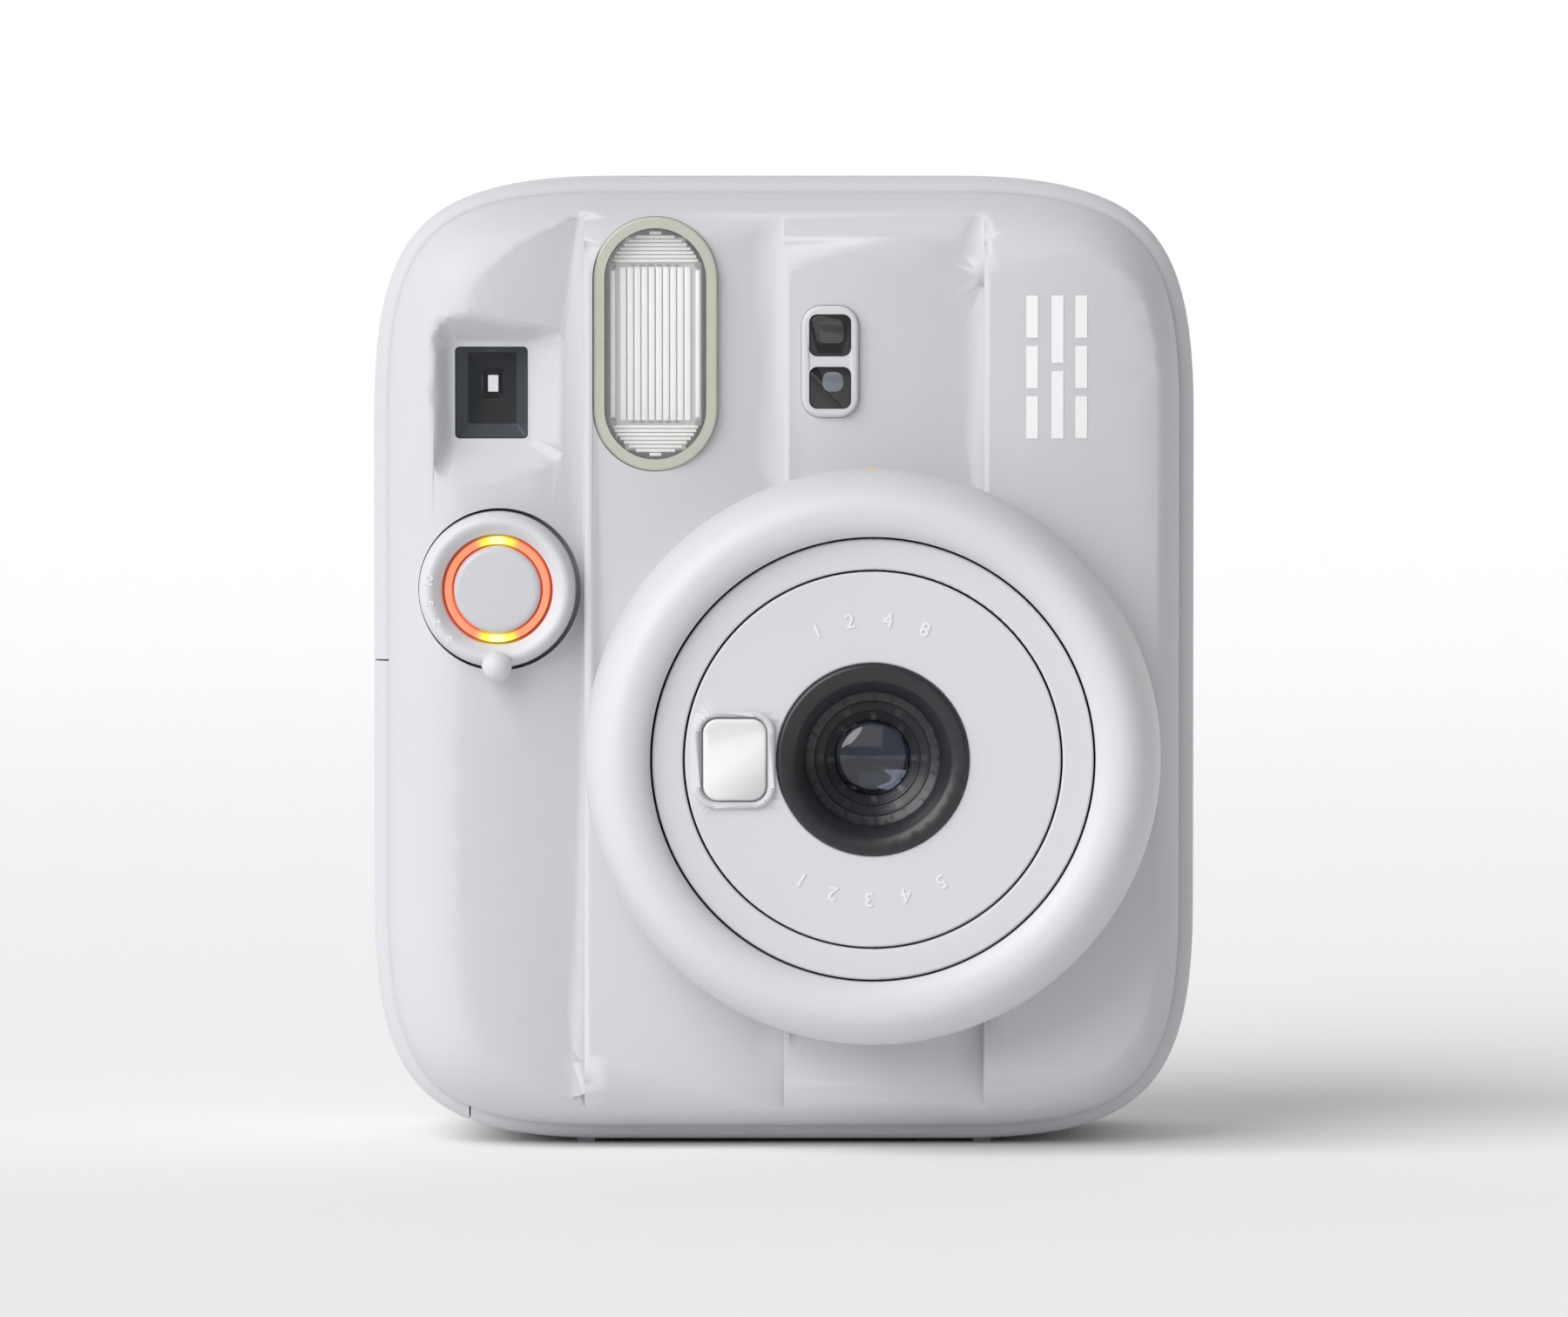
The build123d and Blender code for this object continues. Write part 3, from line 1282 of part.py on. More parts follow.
with BuildPart() as shutter_button:
    round_bar(grip_x, button_z, button_radius, button_front_y, button_skirt_y)
    fillet(shutter_button.edges().group_by(Axis.Y)[0], 0.9)
    round_bar(grip_x, button_z, button_radius - 1.2, button_roof_y, button_skirt_y, mode=Mode.SUBTRACT)
    round_bar(grip_x, button_z, stem_radius, button_roof_y, stem_end_y)
save(shutter_button, "shutter_button")

with BuildPart() as button_spring:
    button_spring_start = (grip_x, dial_boss_y - 0.25, button_z)
    add(coil(button_spring_start, (0, -1, 0), 3.0, 0.4, dial_boss_y - button_roof_y - 0.5, 4))
save(button_spring, "button_spring")

with BuildPart() as shutter_switch:
    switch_y = stem_end_y + button_travel + 0.1
    box_between(
        (grip_x - 4.5, switch_y + 0.4, button_z - 4.5),
        (grip_x + 4.5, switch_y + 3.4, button_z + 4.5)
    )
    round_bar(grip_x, button_z, 1.6, switch_y, switch_y + 0.4)
    box_between(
        (grip_x - 5.5, switch_y + 3.4, button_z - 7.5),
        (grip_x + 5.5, switch_y + 4.4, button_z + 7.5)
    )
save(shutter_switch, "shutter_switch")

# ------------------------------------------------------------------ main board, its parts and the capacitor
board_thick = 1.2
board_left = sensor_x - 3.4
board_right = board_left + 36.0
board_low = 88.8
board_high = 115.0
board_back_y = board_y + board_thick

with BuildPart() as main_board:
    box_between((board_left, board_y, board_low), (board_right, board_back_y, board_high))
    fillet(main_board.edges().filter_by(Axis.Y), 1.5)
    for x, z in board_posts:
        round_bar(x, z, 0.8, board_y, board_back_y, mode=Mode.SUBTRACT)
save(main_board, "main_board")

chips = (  # each is x and z from the board's corner, width, height and thickness
    (7.0, 11.5, 7.0, 7.0, 1.2),
    (17.5, 10.0, 5.0, 5.0, 1.0),
    (26.5, 12.0, 6.0, 9.0, 3.2),
    (33.0, 19.0, 3.0, 6.0, 2.0),
    (8.0, 20.5, 3.0, 2.0, 0.9),
    (12.5, 20.5, 2.0, 2.0, 0.9),
    (29.0, 21.5, 3.0, 2.0, 0.9),
)
with BuildPart() as board_parts:
    for dx, dz, width, height, thick in chips:
        with Locations((board_left + dx, board_back_y + thick / 2, board_low + dz)):
            Box(width, thick, height)
save(board_parts, "board_parts")

with BuildPart() as flash_capacitor:
    cross_bar(cap_y, cap_z, cap_radius, cap_x, cap_x + cap_length)
    fillet(flash_capacitor.edges(), 0.6)
    for y in (-1.6, 1.6):
        cross_bar(cap_y + y, cap_z, 0.4, cap_x - 3.0, cap_x + 1)
save(flash_capacitor, "flash_capacitor")

# ------------------------------------------------------------------ battery holder, contacts and cells
cell_high_z = cell_low_z + cell_length
nub_height = 1.0
contact_thick = 0.4
holder_low_z = cell_low_z - nub_height - slip - contact_thick - holder_wall
holder_high_z = cell_high_z + nub_height + slip + contact_thick + holder_wall
holder_left = left_x + 8.2
holder_right = cell_x + cell_radius + slip + holder_wall
holder_front_y = cell_front_y - cell_radius - slip - holder_wall
holder_back_y = cell_front_y + cell_pitch + cell_radius + slip + holder_wall

with BuildPart() as battery_holder:
    box_between((holder_left, holder_front_y, holder_low_z), (holder_right, holder_back_y, holder_high_z))
    box_between(
        (holder_left - 1, holder_front_y + holder_wall, holder_low_z + holder_wall),
        (holder_right - holder_wall, holder_back_y - holder_wall, holder_high_z - holder_wall),
        mode=Mode.SUBTRACT,
    )
    for z in (holder_low_z + 5.0, holder_high_z - 10.0):
        box_between((holder_right - 0.2, gate_y + 2.0, z), (chassis_left, gate_y + 10.0, z + 2.0))
save(battery_holder, "battery_holder")

with BuildPart() as battery_contacts:
    for y, z in (
        (cell_front_y, holder_low_z + holder_wall),
        (cell_front_y + cell_pitch, holder_low_z + holder_wall),
        (cell_front_y, holder_high_z - holder_wall - contact_thick),
        (cell_front_y + cell_pitch, holder_high_z - holder_wall - contact_thick),
    ):
        box_between((cell_x - 4.5, y - 5.0, z), (cell_x + 5.0, y + 5.0, z + contact_thick))
    spring_room = nub_height + slip - 0.5
    low_spring_z = holder_low_z + holder_wall + contact_thick + 0.2
    high_spring_z = cell_high_z + 0.3
    for y, z in ((cell_front_y, low_spring_z), (cell_front_y + cell_pitch, high_spring_z)):
        add(coil((cell_x, y, z), (0, 0, 1), 3.0, 0.35, spring_room, 1.6))
save(battery_contacts, "battery_contacts")

with BuildPart() as battery_cells:
    for y, nub_z in ((cell_front_y, cell_high_z), (cell_front_y + cell_pitch, cell_low_z - nub_height)):
        with BuildSketch(Plane(origin=(cell_x, y, cell_low_z))):
            Circle(cell_radius)
        extrude(amount=cell_length)
        with BuildSketch(Plane(origin=(cell_x, y, nub_z))):
            Circle(2.6)
        extrude(amount=nub_height)
save(battery_cells, "battery_cells")

# ------------------------------------------------------------------ film counter
with BuildPart() as counter_dial:
    round_bar(counter_x, counter_z, counter_radius, counter_y, counter_y + 1.0)
    for i in range(24):
        angle = radians(15 * i)
        round_bar(
            counter_x + (counter_radius + 0.15) * cos(angle),
            counter_z + (counter_radius + 0.15) * sin(angle),
            0.45, counter_y, counter_y + 1.0, mode=Mode.SUBTRACT,
        )
    round_bar(counter_x, counter_z, 1.35, counter_y, counter_y + 1.0, mode=Mode.SUBTRACT)
save(counter_dial, "counter_dial")

with BuildPart() as counter_window:
    slab(
        counter_x + counter_read, counter_z, counter_window_size - 0.1, counter_window_size - 0.1, 0.75,
        inner_back_y + 0.6, back_y - 0.2,
    )
save(counter_window, "counter_window")

# ------------------------------------------------------------------ film exit, screws and feet
with BuildPart() as film_exit_frame:
    with BuildSketch(Plane.XY.offset(slot_low_z)):
        with Locations((lens_x, film_y)):
            RectangleRounded(slot_width + 2 * slot_rim - 0.1, slot_depth + 2 * slot_rim - 0.1, 1.75)
    extrude(amount=10)
    extrude(body_outline(cover_rim_y, 0.25), amount=cover_rim_y - back_y, mode=Mode.INTERSECT)
    with BuildSketch(Plane.XY.offset(slot_low_z)):
        with Locations((lens_x, film_y)):
            RectangleRounded(slot_width, slot_depth, 1.0)
    extrude(amount=10, mode=Mode.SUBTRACT)
save(film_exit_frame, "film_exit_frame")

with BuildPart() as housing_screws:
    for x, z, _ in screw_spots:
        seat_y = low_boss_y if (x, z) == (low_x, low_z) else head_y
        round_bar(x, z, head_radius, seat_y, seat_y + head_height)
        round_bar(x, z, screw_radius - screw_clearance, boss_meet_y - 8.0, seat_y)
        for slot_width_x, slot_width_z in ((1.8, 0.5), (0.5, 1.8)):
            with Locations((x, seat_y + head_height, z)):
                Box(slot_width_x, 1.2, slot_width_z, mode=Mode.SUBTRACT)
save(housing_screws, "housing_screws")

with BuildPart() as foot_strips:
    for side in (-1, 1):
        box_between(
            (side * pleat_pitch - foot_width / 2 + 0.05, foot_front_y + 0.1, 0),
            (side * pleat_pitch + foot_width / 2 - 0.05, foot_back_y - 0.1, foot_height + foot_sink),
        )
save(foot_strips, "foot_strips")
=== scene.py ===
import json
import math
import bmesh
import bpy
from mathutils import Matrix, Vector

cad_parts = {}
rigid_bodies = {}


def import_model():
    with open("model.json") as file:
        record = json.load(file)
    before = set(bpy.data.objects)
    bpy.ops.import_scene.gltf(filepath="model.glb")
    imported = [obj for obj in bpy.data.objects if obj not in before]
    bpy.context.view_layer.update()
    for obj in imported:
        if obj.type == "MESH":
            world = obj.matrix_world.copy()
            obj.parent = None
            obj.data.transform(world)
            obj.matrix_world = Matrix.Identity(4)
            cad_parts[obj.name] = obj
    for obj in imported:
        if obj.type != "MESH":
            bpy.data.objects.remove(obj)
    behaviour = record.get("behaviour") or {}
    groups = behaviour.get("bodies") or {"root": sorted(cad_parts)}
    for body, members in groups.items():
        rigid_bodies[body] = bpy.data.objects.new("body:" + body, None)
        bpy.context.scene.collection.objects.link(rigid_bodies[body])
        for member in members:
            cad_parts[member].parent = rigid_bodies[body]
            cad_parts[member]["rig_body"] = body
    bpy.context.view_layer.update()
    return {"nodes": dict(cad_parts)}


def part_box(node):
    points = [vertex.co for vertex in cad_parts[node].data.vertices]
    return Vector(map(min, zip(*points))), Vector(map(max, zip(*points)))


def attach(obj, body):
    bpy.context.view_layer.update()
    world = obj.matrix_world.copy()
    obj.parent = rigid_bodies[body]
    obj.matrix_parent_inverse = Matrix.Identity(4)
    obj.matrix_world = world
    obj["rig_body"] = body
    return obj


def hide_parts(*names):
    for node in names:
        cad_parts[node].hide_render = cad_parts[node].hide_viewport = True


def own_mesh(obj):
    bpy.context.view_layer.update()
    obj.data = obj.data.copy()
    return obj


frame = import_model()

nodes = frame["nodes"]
mm = 0.001
print("loaded", len(nodes), "nodes")


def middle(name):
    low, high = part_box(name)
    return (low + high) / 2


lensCentre = Vector((middle("lens_ring").x, 0, middle("lens_ring").z))
buttonCentre = middle("timer_light_ring")


class Val:
    # one number travelling through the shader; sums and products on it add their own Math nodes
    def __init__(self, finish, socket):
        self.finish = finish
        self.socket = socket

    def maths(self, operation, *others):
        values = {i: other for i, other in enumerate([self, *others])}
        return self.finish.add("ShaderNodeMath", {"operation": operation}, values)

    def flipped(self, operation, other):
        return self.finish.add("ShaderNodeMath", {"operation": operation}, {0: other, 1: self})

    def __add__(self, other):
        return self.maths("ADD", other)

    def __sub__(self, other):
        return self.maths("SUBTRACT", other)

    def __rsub__(self, other):
        return self.flipped("SUBTRACT", other)

    def __mul__(self, other):
        return self.maths("MULTIPLY", other)

    def __truediv__(self, other):
        return self.maths("DIVIDE", other)

    def __abs__(self):
        return self.maths("ABSOLUTE")

    __radd__ = __add__
    __rmul__ = __mul__

    def ramp(self, low, high):
        # 0 below low, 1 above high, smooth between
        settings = {"interpolation_type": "SMOOTHSTEP"}
        return self.finish.add("ShaderNodeMapRange", settings, {0: self, 1: low, 2: high, 3: 0.0, 4: 1.0})


class Finish:
    def __init__(self, name, **fixed):
        self.material = bpy.data.materials.new(name)
        self.material.use_nodes = True
        self.tree = self.material.node_tree
        self.shader = self.tree.nodes["Principled BSDF"]
        for socket, value in fixed.items():
            self.shader.inputs[socket.replace("_", " ")].default_value = value

    def add(self, kind, settings=None, values=None, output=0):
        node = self.tree.nodes.new(kind)
        for key, value in (settings or {}).items():
            if key == "stops":
                ramp = node.color_ramp
                while len(ramp.elements) < len(value):
                    ramp.elements.new(0.5)
                for element, (position, colour) in zip(ramp.elements, value):
                    element.position = position
                    element.color = colour
            else:
                setattr(node, key, value)
        for key, value in (values or {}).items():
            if isinstance(value, Val):
                self.tree.links.new(value.socket, node.inputs[key])
            else:
                node.inputs[key].default_value = value
        return Val(self, node.outputs[output])

    def place(self, shift=(0, 0, 0), stretch=(1, 1, 1)):
        # object coordinates in metres, moved and stretched
        coords = self.add("ShaderNodeTexCoord", output=3)
        moved = self.add("ShaderNodeVectorMath", {"operation": "SUBTRACT"}, {0: coords, 1: shift})
        return self.add("ShaderNodeVectorMath", {"operation": "MULTIPLY"}, {0: moved, 1: stretch})

    def axis(self, vector, letter):
        return self.add("ShaderNodeSeparateXYZ", None, {0: vector}, output="XYZ".index(letter))

    def noise(self, scale, detail=2.0, vector=None):
        values = {"Scale": scale, "Detail": detail}
        values["Vector"] = vector or self.place()
        return self.add("ShaderNodeTexNoise", None, values)

    def mix(self, factor, first, second):
        return self.add("ShaderNodeMix", {"data_type": "RGBA"}, {0: factor, 6: first, 7: second}, output=2)

    def set(self, socket, value):
        self.tree.links.new(value.socket, self.shader.inputs[socket])

    def bump(self, height, distance, strength=1.0):
        values = {"Height": height, "Distance": distance, "Strength": strength}
        self.set("Normal", self.add("ShaderNodeBump", None, values))


def rgb(*values):
    return (*values, 1.0)


# satin moulded plastic: a fine spark-eroded grain, a slow drift of tone and a little polish
def mouldedPlastic(name, colour, look):
    finish = Finish(name, Specular_IOR_Level=look.get("shine", 0.4))
    drift = finish.noise(look.get("driftScale", 35.0), 3.0)
    grain = finish.noise(look["grainScale"], 2.0)
    deep = tuple(c * look.get("driftTone", 0.985) for c in colour)
    finish.set("Base Color", finish.mix(drift.ramp(0.3, 0.7), rgb(*deep), rgb(*colour)))
    finish.set("Roughness", look["roughness"] + (drift - 0.5) * 0.06 + (grain - 0.5) * 0.08)
    finish.bump(grain, look["grainDepth"], look.get("grainStrength", 0.5))
    return finish.material


shellLook = {"grainScale": 4200.0, "grainDepth": 0.00001, "roughness": 0.5, "grainStrength": 0.4}
ringLook = {"grainScale": 5200.0, "grainDepth": 0.000006, "roughness": 0.42, "grainStrength": 0.35}
blackLook = {"grainScale": 2600.0, "grainDepth": 0.00002, "roughness": 0.6, "driftTone": 0.8}
acetalLook = {"grainScale": 1800.0, "grainDepth": 0.000008, "roughness": 0.35, "shine": 0.5}

shellColour = (0.6, 0.607, 0.635)
ringColour = (0.65, 0.655, 0.68)
shellPlastic = mouldedPlastic("shellPlastic", shellColour, shellLook)
ringPlastic = mouldedPlastic("ringPlastic", ringColour, ringLook)
# raised figures: the ring plastic made lighter, a painted highlight
letterPlasticPaintedHighlight = mouldedPlastic("letterPlasticPaintedHighlight", (0.78, 0.785, 0.81), ringLook)
innerBlack = mouldedPlastic("innerBlack", (0.018, 0.018, 0.02), blackLook)
gearPlastic = mouldedPlastic("gearPlastic", (0.78, 0.75, 0.66), acetalLook)
darkTrim = mouldedPlastic("darkTrim", (0.03, 0.03, 0.034), dict(blackLook, roughness=0.38))
dialWhite = mouldedPlastic("dialWhite", (0.85, 0.85, 0.84), acetalLook)
footRubber = mouldedPlastic("footRubber", (0.55, 0.56, 0.58), dict(blackLook, roughness=0.7, driftTone=0.95))


# turned or rolled metal, with a grain drawn out along one axis
def metal(name, colour, roughness, stretch):
    finish = Finish(name, Metallic=1.0)
    grain = finish.noise(900.0, 4.0, finish.place((0, 0, 0), stretch))
    stain = finish.noise(120.0, 2.0)
    dull = tuple(c * 0.86 for c in colour)
    finish.set("Base Color", finish.mix(stain.ramp(0.35, 0.75), rgb(*colour), rgb(*dull)))
    finish.set("Roughness", roughness + (grain - 0.5) * 0.2)
    finish.bump(grain, 0.000006, 0.4)
    return finish.material


springSteel = metal("springSteel", (0.62, 0.62, 0.63), 0.28, (1, 1, 1))
rollerSteel = metal("rollerSteel", (0.56, 0.56, 0.57), 0.3, (1, 14, 14))
motorCan = metal("motorCan", (0.6, 0.59, 0.56), 0.34, (1, 10, 10))
bladeSteel = metal("bladeSteel", (0.05, 0.05, 0.055), 0.5, (8, 1, 1))


# vacuum-coated reflector, with faint ripples from its mould
def brightCoat():
    finish = Finish("brightCoat", Metallic=1.0)
    ripple = finish.noise(260.0, 2.0)
    finish.set("Base Color", finish.mix(ripple, rgb(0.93, 0.92, 0.88), rgb(0.86, 0.86, 0.85)))
    finish.set("Roughness", 0.16 + ripple * 0.1)
    finish.bump(ripple, 0.00004, 0.5)
    return finish.material


# clear plastic or glass with a slight waviness
def clearPlastic(name, tint, roughness, ior=1.49, wave=0.2):
    finish = Finish(name, Transmission_Weight=1.0, IOR=ior)
    ripple = finish.noise(180.0, 1.0)
    faint = tuple(c * 0.97 for c in tint)
    finish.set("Base Color", finish.mix(ripple, rgb(*tint), rgb(*faint)))
    finish.set("Roughness", roughness + ripple * 0.03)
    finish.bump(ripple, 0.00001, wave)
    return finish.material


coatedGlass = clearPlastic("coatedGlass", (0.55, 0.6, 0.78), 0.0, 1.6, 0.02)


# thin clear pane that lets most light straight through
def thinPane(name, colour, alpha):
    finish = Finish(name, Alpha=alpha, Specular_IOR_Level=0.6)
    haze = finish.noise(140.0, 2.0)
    finish.set("Base Color", finish.mix(haze, rgb(*colour), rgb(*(c * 0.94 for c in colour))))
    finish.set("Roughness", 0.04 + haze * 0.06)
    return finish.material


clearWindow = thinPane("clearWindow", (0.95, 0.96, 0.95), 0.12)
finderGlass = thinPane("finderGlass", (0.05, 0.055, 0.065), 0.14)


def smokedPlastic(name, colour, coat):
    finish = Finish(name, Specular_IOR_Level=0.6, Coat_Roughness=0.03)
    haze = finish.noise(90.0, 2.0)
    finish.set("Base Color", finish.mix(haze, rgb(*colour), rgb(*(c * 0.8 for c in colour))))
    finish.set("Roughness", 0.12 + haze * 0.05)
    finish.set("Coat Weight", coat + haze * 0.1)
    return finish.material


sensorBlack = smokedPlastic("sensorBlack", (0.008, 0.008, 0.01), 0.6)
sensorGrey = smokedPlastic("sensorGrey", (0.045, 0.045, 0.05), 0.4)
sensorBlue = smokedPlastic("sensorBlue", (0.16, 0.18, 0.21), 0.7)
smokedWindow = smokedPlastic("smokedWindow", (0.03, 0.025, 0.02), 0.5)
capacitorSleeve = smokedPlastic("capacitorSleeve", (0.02, 0.025, 0.05), 0.4)
chipBlack = smokedPlastic("chipBlack", (0.02, 0.02, 0.022), 0.1)


# black lens bezel: fine turned rings that catch the light
def turnedBlack(centre):
    finish = Finish("turnedBlack", Specular_IOR_Level=0.55)
    place = finish.place((centre.x, centre.y, centre.z), (1, 0, 1))
    reach = finish.add("ShaderNodeVectorMath", {"operation": "LENGTH"}, {0: place}, output=1)
    rings = (reach * 9000.0).maths("SINE")
    dust = finish.noise(700.0, 2.0)
    finish.set("Base Color", finish.mix(dust, rgb(0.012, 0.012, 0.015), rgb(0.02, 0.021, 0.026)))
    finish.set("Roughness", 0.3 + dust * 0.1)
    finish.bump(rings, 0.000004, 0.5)
    return finish.material


# domed mirror: a painted reflection, bright at its upper left and falling off to grey towards its lower
# right corner
def convexMirror(centre):
    finish = Finish("convexMirror", Metallic=0.35, Coat_Weight=0.5, Coat_Roughness=0.03)
    place = finish.place(tuple(centre))
    # painted reflection: bright at the upper left, grey at the lower right
    painted_reflection_fade = (finish.axis(place, "X") - finish.axis(place, "Z") * 1.4).ramp(-0.001, 0.0105)
    haze = finish.noise(120.0, 2.0)
    finish.set("Base Color", finish.mix(painted_reflection_fade, rgb(0.95, 0.95, 0.955), rgb(0.6, 0.59, 0.61)))
    finish.set("Roughness", 0.12 + haze * 0.05)
    return finish.material


# coral light ring with a yellow glow at its top and bottom
def glowingRing(centre):
    finish = Finish("glowingRing", Emission_Strength=0.55, Specular_IOR_Level=0.5)
    place = finish.place(tuple(centre))
    across = abs(finish.axis(place, "X"))
    upDown = abs(finish.axis(place, "Z"))
    reach = (upDown * upDown + across * across).maths("SQRT")
    nearPole = (across / reach).ramp(0.48, 0.24)
    hot = (across / reach).ramp(0.26, 0.05)
    cloud = finish.noise(700.0, 2.0)
    coral = finish.mix(cloud, rgb(0.95, 0.2, 0.09), rgb(0.9, 0.25, 0.15))
    yellow = finish.mix(hot, rgb(1.0, 0.66, 0.06), rgb(1.0, 0.9, 0.35))
    colour = finish.mix(nearPole, coral, yellow)
    finish.set("Base Color", colour)
    finish.set("Emission Color", colour)
    finish.set("Roughness", 0.32 + cloud * 0.08)
    return finish.material


def printedCell():
    finish = Finish("printedCell", Metallic=0.3, Coat_Weight=0.4)
    low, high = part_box("battery_cells")
    up = finish.axis(finish.place((0, 0, low.z)), "Z")
    band = up.ramp(0.034, 0.0345)
    scuff = finish.noise(500.0, 3.0)
    jacket = finish.mix(band, rgb(0.05, 0.06, 0.08), rgb(0.62, 0.4, 0.14))
    finish.set("Base Color", finish.mix(scuff.ramp(0.6, 0.8), jacket, rgb(0.3, 0.3, 0.3)))
    finish.set("Roughness", 0.25 + scuff * 0.15)
    return finish.material


def solderMask():
    finish = Finish("solderMask", Specular_IOR_Level=0.5, Coat_Weight=0.3)
    place = finish.place()
    run = (finish.axis(place, "X") * 2600.0).maths("SINE") * (finish.axis(place, "Z") * 900.0).maths("SINE")
    tracks = run.ramp(0.3, 0.5)
    finish.set("Base Color", finish.mix(tracks, rgb(0.01, 0.1, 0.05), rgb(0.03, 0.2, 0.09)))
    finish.set("Roughness", 0.35 + finish.noise(400.0) * 0.1)
    finish.bump(tracks, 0.00003, 0.4)
    return finish.material


def milkyGasket():
    finish = Finish("milkyGasket", IOR=1.45, Specular_IOR_Level=0.6)
    cloud = finish.noise(300.0, 2.0)
    finish.set("Base Color", finish.mix(cloud, rgb(0.47, 0.475, 0.41), rgb(0.53, 0.53, 0.465)))
    finish.set("Roughness", 0.28 + cloud * 0.1)
    return finish.material


def plainPaint(name, colour, roughness=0.35, glow=0.0):
    finish = Finish(name, Emission_Color=rgb(*colour), Emission_Strength=glow)
    speck = finish.noise(3000.0, 2.0)
    finish.set("Base Color", finish.mix(speck, rgb(*colour), rgb(*(c * 0.93 for c in colour))))
    finish.set("Roughness", roughness + (speck - 0.5) * 0.1)
    finish.bump(speck, 0.000005, 0.4)
    return finish.material


buttonPlastic = plainPaint("buttonPlastic", (0.6, 0.61, 0.64), 0.34)
whiteInk = plainPaint("whiteInk", (0.93, 0.93, 0.94))
yellowInk = plainPaint("yellowInk", (0.95, 0.72, 0.08))
mirrorFinish = convexMirror(middle("selfie_mirror"))
pearlPrism = plainPaint("pearlPrism", (0.93, 0.935, 0.925), 0.16)
# grey sheet behind the flash prisms: painted shade
prismPaintedShade = plainPaint("prismPaintedShade", (0.66, 0.67, 0.66), 0.2)
clipGrey = plainPaint("clipGrey", (0.2, 0.21, 0.2), 0.3)
# outer finder step: a faint glow, painted light
slateStepPaintedGlow = plainPaint("slateStepPaintedGlow", (0.07, 0.077, 0.092), 0.4, 0.25)
blackStep = plainPaint("blackStep", (0.012, 0.012, 0.014), 0.45)
# finder sight: a bright glow, painted light standing for the view through the finder
sightPaintedGlow = plainPaint("sightPaintedGlow", (0.95, 0.95, 0.97), 0.3, 0.85)
print("finishes made")


def finishPiece(name, bm, material, body, smoothAngle=35.0, recalc=True):
    if recalc:
        bmesh.ops.recalc_face_normals(bm, faces=bm.faces)
    mesh = bpy.data.meshes.new(name)
    bm.to_mesh(mesh)
    bm.free()
    piece = bpy.data.objects.new(name, mesh)
    bpy.context.scene.collection.objects.link(piece)
    materials = material if isinstance(material, list) else [material]
    for entry in materials:
        mesh.materials.append(entry)
    mesh.shade_smooth()
    mesh.set_sharp_from_angle(angle=math.radians(smoothAngle))
    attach(piece, body)
    return piece


def bezier(p0, p1, p2, p3, count=14):
    points = []
    for i in range(count + 1):
        t = i / count
        s = 1 - t
        points.append(tuple(
            s**3 * a + 3 * s * s * t * b + 3 * s * t * t * c + t**3 * d for a, b, c, d in zip(p0, p1, p2, p3)
        ))
    return points


def spun(profile, centre, steps=160, closed=True):
    # turns a (radius, depth) outline round the line through the centre along Y; millimetres
    bm = bmesh.new()
    verts = [bm.verts.new((centre.x + r * mm, y * mm, centre.z)) for r, y in profile]
    edges = [bm.edges.new(pair) for pair in zip(verts, verts[1:])]
    if closed:
        edges.append(bm.edges.new((verts[-1], verts[0])))
    bmesh.ops.spin(
        bm, geom=verts + edges, cent=centre, axis=(0, 1, 0), dvec=(0, 0, 0),
        angle=math.tau, steps=steps, use_merge=True,
    )
    bmesh.ops.remove_doubles(bm, verts=bm.verts, dist=1e-6)
    return bm


def roundedPlate(width, height, corner, front, rear, centre, segments=8, rim=0.0, rimSegments=3):
    # a rounded rectangle facing forwards; width along X, height along Z; millimetres
    bm = bmesh.new()
    made = bmesh.ops.create_grid(bm, x_segments=1, y_segments=1, size=0.5)
    bmesh.ops.scale(bm, vec=(width * mm, height * mm, 1), verts=made["verts"])
    corners = list(bm.verts)
    bmesh.ops.bevel(
        bm, geom=corners, offset=corner * mm, offset_type="OFFSET", segments=segments, profile=0.5,
        affect="VERTICES", material=-1, clamp_overlap=True,
    )
    bmesh.ops.rotate(bm, cent=(0, 0, 0), matrix=Matrix.Rotation(math.radians(90), 3, "X"), verts=bm.verts)
    bmesh.ops.translate(bm, vec=(centre.x, rear * mm, centre.z), verts=bm.verts)
    faces = list(bm.faces)
    pushed = bmesh.ops.extrude_face_region(bm, geom=faces)
    moved = [v for v in pushed["geom"] if isinstance(v, bmesh.types.BMVert)]
    bmesh.ops.translate(bm, vec=(0, (front - rear) * mm, 0), verts=moved)
    bmesh.ops.recalc_face_normals(bm, faces=bm.faces)
    if rim:
        edges = [e for e in bm.edges if all(abs(v.co.y - front * mm) < 1e-7 for v in e.verts)]
        edges = [e for e in edges if any(abs(f.normal.y) < 0.5 for f in e.link_faces)]
        bmesh.ops.bevel(
            bm, geom=edges, offset=rim * mm, offset_type="OFFSET", segments=rimSegments, profile=0.5,
            affect="EDGES", material=-1, clamp_overlap=True,
        )
    return bm


def joinInto(target, source):
    # adds one bmesh's faces to another
    mesh = bpy.data.meshes.new("scrap")
    source.to_mesh(mesh)
    source.free()
    target.from_mesh(mesh)
    bpy.data.meshes.remove(mesh)


def cleanCopy(name, material, smoothAngle=32.0):
    # the CAD node's own shape with its triangles joined, so that round surfaces shade smoothly
    bm = bmesh.new()
    bm.from_mesh(nodes[name].data)
    bmesh.ops.remove_doubles(bm, verts=bm.verts, dist=2e-6)
    bmesh.ops.dissolve_degenerate(bm, edges=bm.edges, dist=1e-7)
    body = nodes[name]["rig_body"]
    piece = finishPiece(name + "_finished", bm, material, body, smoothAngle, recalc=False)
    weighted = piece.modifiers.new("weighted", "WEIGHTED_NORMAL")  # broad faces stay flat beside narrow ones
    weighted.keep_sharp = True
    weighted.weight = 50
    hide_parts(name)
    return piece
